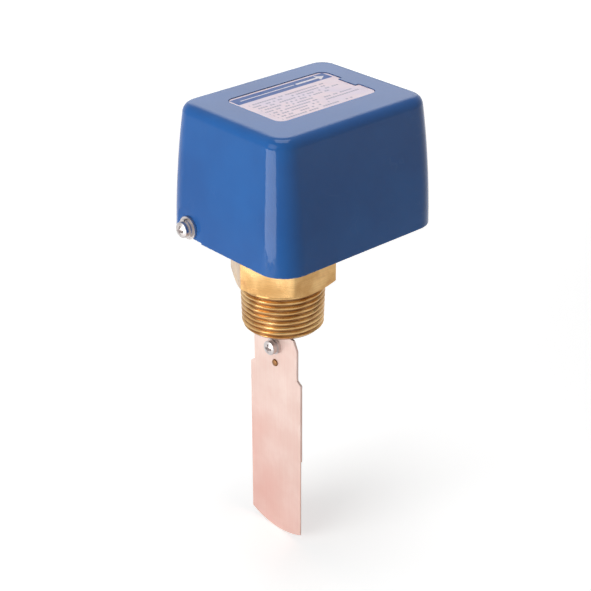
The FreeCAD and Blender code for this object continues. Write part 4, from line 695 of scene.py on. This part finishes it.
# pairs and rows of small screws: the node's box gives where they stand, the count how many share it
smallThreadDeep = 0.22 * mm
smallScrews = {
    "arm_screws": {"body": "lever", "axis": 2, "facing": 1, "count": 2, "along": 0, "slot": "screws",
                   "head": 4.2 * mm, "tall": 1.5 * mm, "dome": 0.35 * mm, "shank": 2.4 * mm,
                   "drive": "slot", "blade": 0.35 * mm, "sink": 0.8 * mm, "pitch": 0.45 * mm},
    "frame_screws": {"body": "base", "axis": 2, "facing": 1, "count": 2, "along": 1, "slot": "screws",
                     "head": 5.6 * mm, "tall": 2.0 * mm, "dome": 0.5 * mm, "shank": 2.9 * mm,
                     "drive": "cross", "reach": 1.8 * mm, "blade": 0.45 * mm, "sink": 1.1 * mm, "pitch": 0.5 * mm},
    "switch_screws": {"body": "base", "axis": 0, "facing": 1, "count": 2, "along": 1, "slot": "screws",
                      "head": 5.4 * mm, "tall": 1.9 * mm, "dome": 0.5 * mm, "shank": 2.9 * mm,
                      "drive": "cross", "reach": 1.7 * mm, "blade": 0.42 * mm, "sink": 1.0 * mm, "pitch": 0.5 * mm},
    "terminal_screws": {"body": "base", "axis": 2, "facing": 1, "count": 3, "along": 1, "slot": "screws",
                        "head": 6.4 * mm, "tall": 2.0 * mm, "dome": 0.4 * mm, "shank": 3.4 * mm,
                        "drive": "slot", "blade": 0.5 * mm, "sink": 1.0 * mm, "pitch": 0.6 * mm},
}


def screwRow(node, look):
    # seats at equal steps between the two ends of the node's box, one screw on each
    low, high = corners(node)
    axis = np.zeros(3)
    axis[look["axis"]] = look["facing"]
    span = high - low
    middle = (low + high) / 2
    far = (span[look["along"]] - look["head"]) / 2
    look["long"] = span[look["axis"]] - look["tall"]
    look["threadDeep"] = smallThreadDeep
    grids = []
    for share in np.linspace(-1, 1, look["count"]):
        seat = middle.copy()
        seat[look["along"]] += share * far
        seat[look["axis"]] = high[look["axis"]] - look["tall"]
        grids.append(screwGrid(look, seat, axis, sides=40))
    piece = makePiece(node.replace("_", "") + "Piece", grids, finishes[look["slot"]])
    return fitOut(piece, look["body"], node)


for node, look in smallScrews.items():
    screwRow(node, look)

rangeScrew = {"head": 6.8 * mm, "tall": 2.4 * mm, "dome": 0.4 * mm, "shank": 3.9 * mm,
              "drive": "slot", "blade": 0.5 * mm, "sink": 1.1 * mm, "pitch": 0.7 * mm, "threadDeep": 0.35 * mm}
low, high = corners("range_screw")
rangeScrew["long"] = high[2] - low[2] - rangeScrew["tall"]
seat = ((low[0] + high[0]) / 2, (low[1] + high[1]) / 2, high[2] - rangeScrew["tall"])
screw = makePiece("rangeScrewPiece", [screwGrid(rangeScrew, seat, (0, 0, 1), sides=36)], finishes["screws"])
fitOut(screw, "range_screw", "range_screw")
print("screws done")


springLook = {"wire": 1.1 * mm, "turns": 4.5, "flatTurns": 0.75, "steps": 110, "round": 12,
              "closed": 0.9,  # rise of a closed turn, as a share of the wire
              "seat": 1.1 * mm}  # how much of each end stays flat on its seat


def springGrid(look, first, last):
    # a round wire carried along a helix from one share of its length to another:
    # full pitch in the middle, closed turns at both ends, and a flat face over each cut
    low, high = corners("range_spring")
    centre = (low + high) / 2
    radius = (high[0] - low[0] - look["wire"]) / 2
    turn = np.linspace(first, last, look["steps"]) * look["turns"]
    flat, wire, closed = look["flatTurns"], look["wire"], look["closed"]
    active = np.clip((turn - flat) / (look["turns"] - 2 * flat), 0, 1)
    ends = (np.clip(turn, 0, flat) + np.clip(turn - look["turns"] + flat, 0, flat)) * wire * closed
    rise = high[2] - low[2] - wire - 2 * flat * wire * closed
    angle = 2 * math.pi * turn
    path = np.stack([centre[0] + radius * np.cos(angle), centre[1] + radius * np.sin(angle),
                     low[2] + wire / 2 + ends + active * rise], -1)
    tangent = np.gradient(path, axis=0)
    tangent /= np.linalg.norm(tangent, axis=1)[:, None]
    outward = np.stack([np.cos(angle), np.sin(angle), np.zeros_like(turn)], -1)
    upward = np.cross(outward, tangent)
    path, outward, upward = (np.pad(part, ((1, 1), (0, 0)), mode="edge") for part in (path, outward, upward))
    around = np.linspace(0, 2 * math.pi, look["round"], endpoint=False)[None, :, None]
    size = np.full(len(path), wire / 2)
    size[0] = size[-1] = 0.0
    size = size[:, None, None]
    return path[:, None] + size * (np.cos(around) * outward[:, None] + np.sin(around) * upward[:, None])


# the spring is in two halves that meet at mid height
springLow, springHigh = corners("range_spring")
springMid = (springLow + springHigh) / 2
lowerEnd = (springMid[0], springMid[1], springLow[2] + springLook["seat"])
upperEnd = (springMid[0], springMid[1], springHigh[2] - springLook["seat"])
for name, first, last, body, end in (("springLower", 0.0, 0.5, "range_nut", lowerEnd),
                                     ("springUpper", 0.5, 1.0, "lever", upperEnd)):
    half = makePiece(name, [springGrid(springLook, first, last)], finishes["spring_steel"])
    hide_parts("range_spring")
    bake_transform(half)
print("range spring done")


bellowsLook = {"folds": 6, "in": 6.0 * mm, "out": 8.2 * mm, "wall": 0.25 * mm, "sides": 72, "perFold": 10,
               "round": 0.7,  # below 1 squares off the wave
               "foot": 1.0 * mm, "head": 1.6 * mm,  # straight lengths past the folds
               "footCup": 0.5 * mm, "footStep": 0.6 * mm, "neck": 0.7 * mm, "flare": 0.6 * mm}


def bellowsGrid(look):
    # a folded tube: its radius swings between root and crest as a rounded wave, with a flange under the ring
    low, high = corners("bellows")
    plug = (corners("bellows_plug")[1][0]) - look["wall"]
    count = look["folds"] * look["perFold"] + 1
    level = np.linspace(low[2] + look["foot"], high[2] - look["head"], count)
    wave = np.cos(np.linspace(0, 2 * math.pi * look["folds"], count))
    wave = np.sign(wave) * np.abs(wave) ** look["round"]
    tube = look["in"] + (look["out"] - look["in"]) * (0.5 - 0.5 * wave)
    flange = high[0]
    outer = [(plug, low[2]), (plug, low[2] + look["footCup"]), (look["in"], low[2] + look["footStep"])]
    outer += list(zip(tube, level))
    outer += [(look["in"], high[2] - look["neck"]), (look["in"] + look["flare"], high[2] - look["wall"]),
              (flange, high[2] - look["wall"]), (flange, high[2])]
    inner = [(look["in"] + look["flare"], high[2])]
    inner += [(r - look["wall"], z) for r, z in zip(tube[::-1], level[::-1])]
    inner += [(look["in"] - look["wall"], low[2])]
    profile = np.array(outer + inner)
    return turned((0, 0, 0), (0, 0, 1), profile[:, :1], profile[:, 1:], look["sides"])


bellows = makePiece("bellowsPiece", [bellowsGrid(bellowsLook)], finishes["bronze"], wrapRows=True, sharpAngle=60)
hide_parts("bellows")
low, high = corners("bellows")
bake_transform(bellows)
print("bellows done")


floorLook = {"colour": (0.86, 0.86, 0.86), "reach": 4.0, "drop": 0.2 * mm,
             "lift": 0.50, "liftNear": 0.30, "liftFar": 1.1}


def backgroundRays(tree):
    # the rays that see the background itself: straight from the camera, mirrored or through glass
    rays = tree.nodes.new("ShaderNodeLightPath")
    seen = math2(tree, "MAXIMUM", rays.outputs["Is Camera Ray"], rays.outputs["Is Glossy Ray"])
    return math2(tree, "MAXIMUM", seen, rays.outputs["Is Transmission Ray"])


def makeFloor(look):
    mesh = bpy.data.meshes.new("floor")
    reach, level = look["reach"], cadLow[2] - look["drop"]
    mesh.from_pydata([(-reach, -reach, level), (reach, -reach, level), (reach, reach, level), (-reach, reach, level)],
                     [], [(0, 1, 2, 3)])
    floor = bpy.data.objects.new("floor", mesh)
    bpy.context.scene.collection.objects.link(floor)
    material = bpy.data.materials.new("paleFloor")
    material.use_nodes = True
    tree = material.node_tree
    shader = tree.nodes["Principled BSDF"]
    shader.inputs["Base Color"].default_value = look["colour"] + (1.0,)
    shader.inputs["Roughness"].default_value = 0.9
    shader.inputs["Emission Color"].default_value = (1.0, 1.0, 1.0, 1.0)
    # the lift grows away from the object, where the lamps no longer reach the floor
    where = addNode(tree, "ShaderNodeTexCoord").outputs["Object"]
    away = addNode(tree, "ShaderNodeVectorMath", {"operation": "LENGTH"})
    tree.links.new(where, away.inputs[0])
    lift = ramp(tree, away.outputs["Value"], low=look["liftNear"], high=look["liftFar"], toLow=look["lift"])
    tree.links.new(math2(tree, "MULTIPLY", backgroundRays(tree), lift), shader.inputs["Emission Strength"])
    # from below the floor is clear, so that the underside can be looked at
    clear = addNode(tree, "ShaderNodeBsdfTransparent")
    either = addNode(tree, "ShaderNodeMixShader")
    tree.links.new(addNode(tree, "ShaderNodeNewGeometry").outputs["Backfacing"], either.inputs["Fac"])
    tree.links.new(shader.outputs["BSDF"], either.inputs[1])
    tree.links.new(clear.outputs["BSDF"], either.inputs[2])
    tree.links.new(either.outputs["Shader"], tree.nodes["Material Output"].inputs["Surface"])
    mesh.materials.append(material)


worldSoft = 0.09  # how bright the surroundings are to everything but the background's own rays


def makeWorld(soft):
    world = bpy.data.worlds.new("studio")
    bpy.context.scene.world = world
    world.use_nodes = True
    tree = world.node_tree
    back = tree.nodes["Background"]
    back.inputs["Color"].default_value = (1.0, 1.0, 1.0, 1.0)
    strength = math2(tree, "MULTIPLY_ADD", backgroundRays(tree), 1.0 - soft, soft)
    tree.links.new(strength, back.inputs["Strength"])


def softLight(name, place, aim, wide, tall, radiance, colour=(1.0, 1.0, 1.0)):
    # an area lamp whose power is given by how bright its face looks: power = radiance * pi * area
    lamp = bpy.data.lights.new(name, "AREA")
    lamp.shape = "RECTANGLE"
    lamp.size, lamp.size_y = wide, tall
    lamp.energy = radiance * math.pi * wide * tall
    lamp.color = colour
    holder = bpy.data.objects.new(name, lamp)
    holder.location = place
    holder.rotation_euler = (Vector(aim) - Vector(place)).to_track_quat("-Z", "Y").to_euler()
    holder.visible_camera = False
    bpy.context.scene.collection.objects.link(holder)


makeFloor(floorLook)
makeWorld(worldSoft)
lights = {
    "leftPanel": {"place": (-1.15, 0.05, 0.60), "aim": (0, 0, 0), "wide": 0.9, "tall": 0.8, "radiance": 2.1},
    "backPanel": {"place": (0.85, 0.95, 0.70), "aim": (0, 0, 0.05), "wide": 1.1, "tall": 0.7, "radiance": 1.0},
    "stripPanel": {"place": (-0.37, 0.03, -0.045), "aim": (0, 0, 0), "wide": 0.34, "tall": 0.135, "radiance": 4.4},
    "topPanel": {"place": (0.05, 0.05, 1.10), "aim": (0, 0, 0), "wide": 0.7, "tall": 0.7, "radiance": 3.6},
}
for name, light in lights.items():
    softLight(name, **light)

cameraLook = {"azimuth": -42.18, "elevation": 27.22, "far": 605.93 * mm,
              "target": (3.65 * mm, -3.31 * mm, -8.17 * mm),
              "lens": 94.4, "sensor": 36.0, "clipNear": 0.01, "clipFar": 50.0}


def makeCamera(look):
    # the camera stands at distance far from the target, along the direction that its two angles give
    turn, rise = math.radians(look["azimuth"]), math.radians(look["elevation"])
    back = Vector((math.sin(turn) * math.cos(rise), -math.cos(turn) * math.cos(rise), math.sin(rise)))
    data = bpy.data.cameras.new("camera")
    data.lens, data.sensor_width = look["lens"], look["sensor"]
    data.clip_start, data.clip_end = look["clipNear"], look["clipFar"]
    camera = bpy.data.objects.new("camera", data)
    camera.location = Vector(look["target"]) + back * look["far"]
    camera.rotation_euler = (-back).to_track_quat("-Z", "Y").to_euler()
    bpy.context.scene.collection.objects.link(camera)
    bpy.context.scene.camera = camera


makeCamera(cameraLook)
bpy.context.scene.view_settings.view_transform = "Standard"
print("stage set")
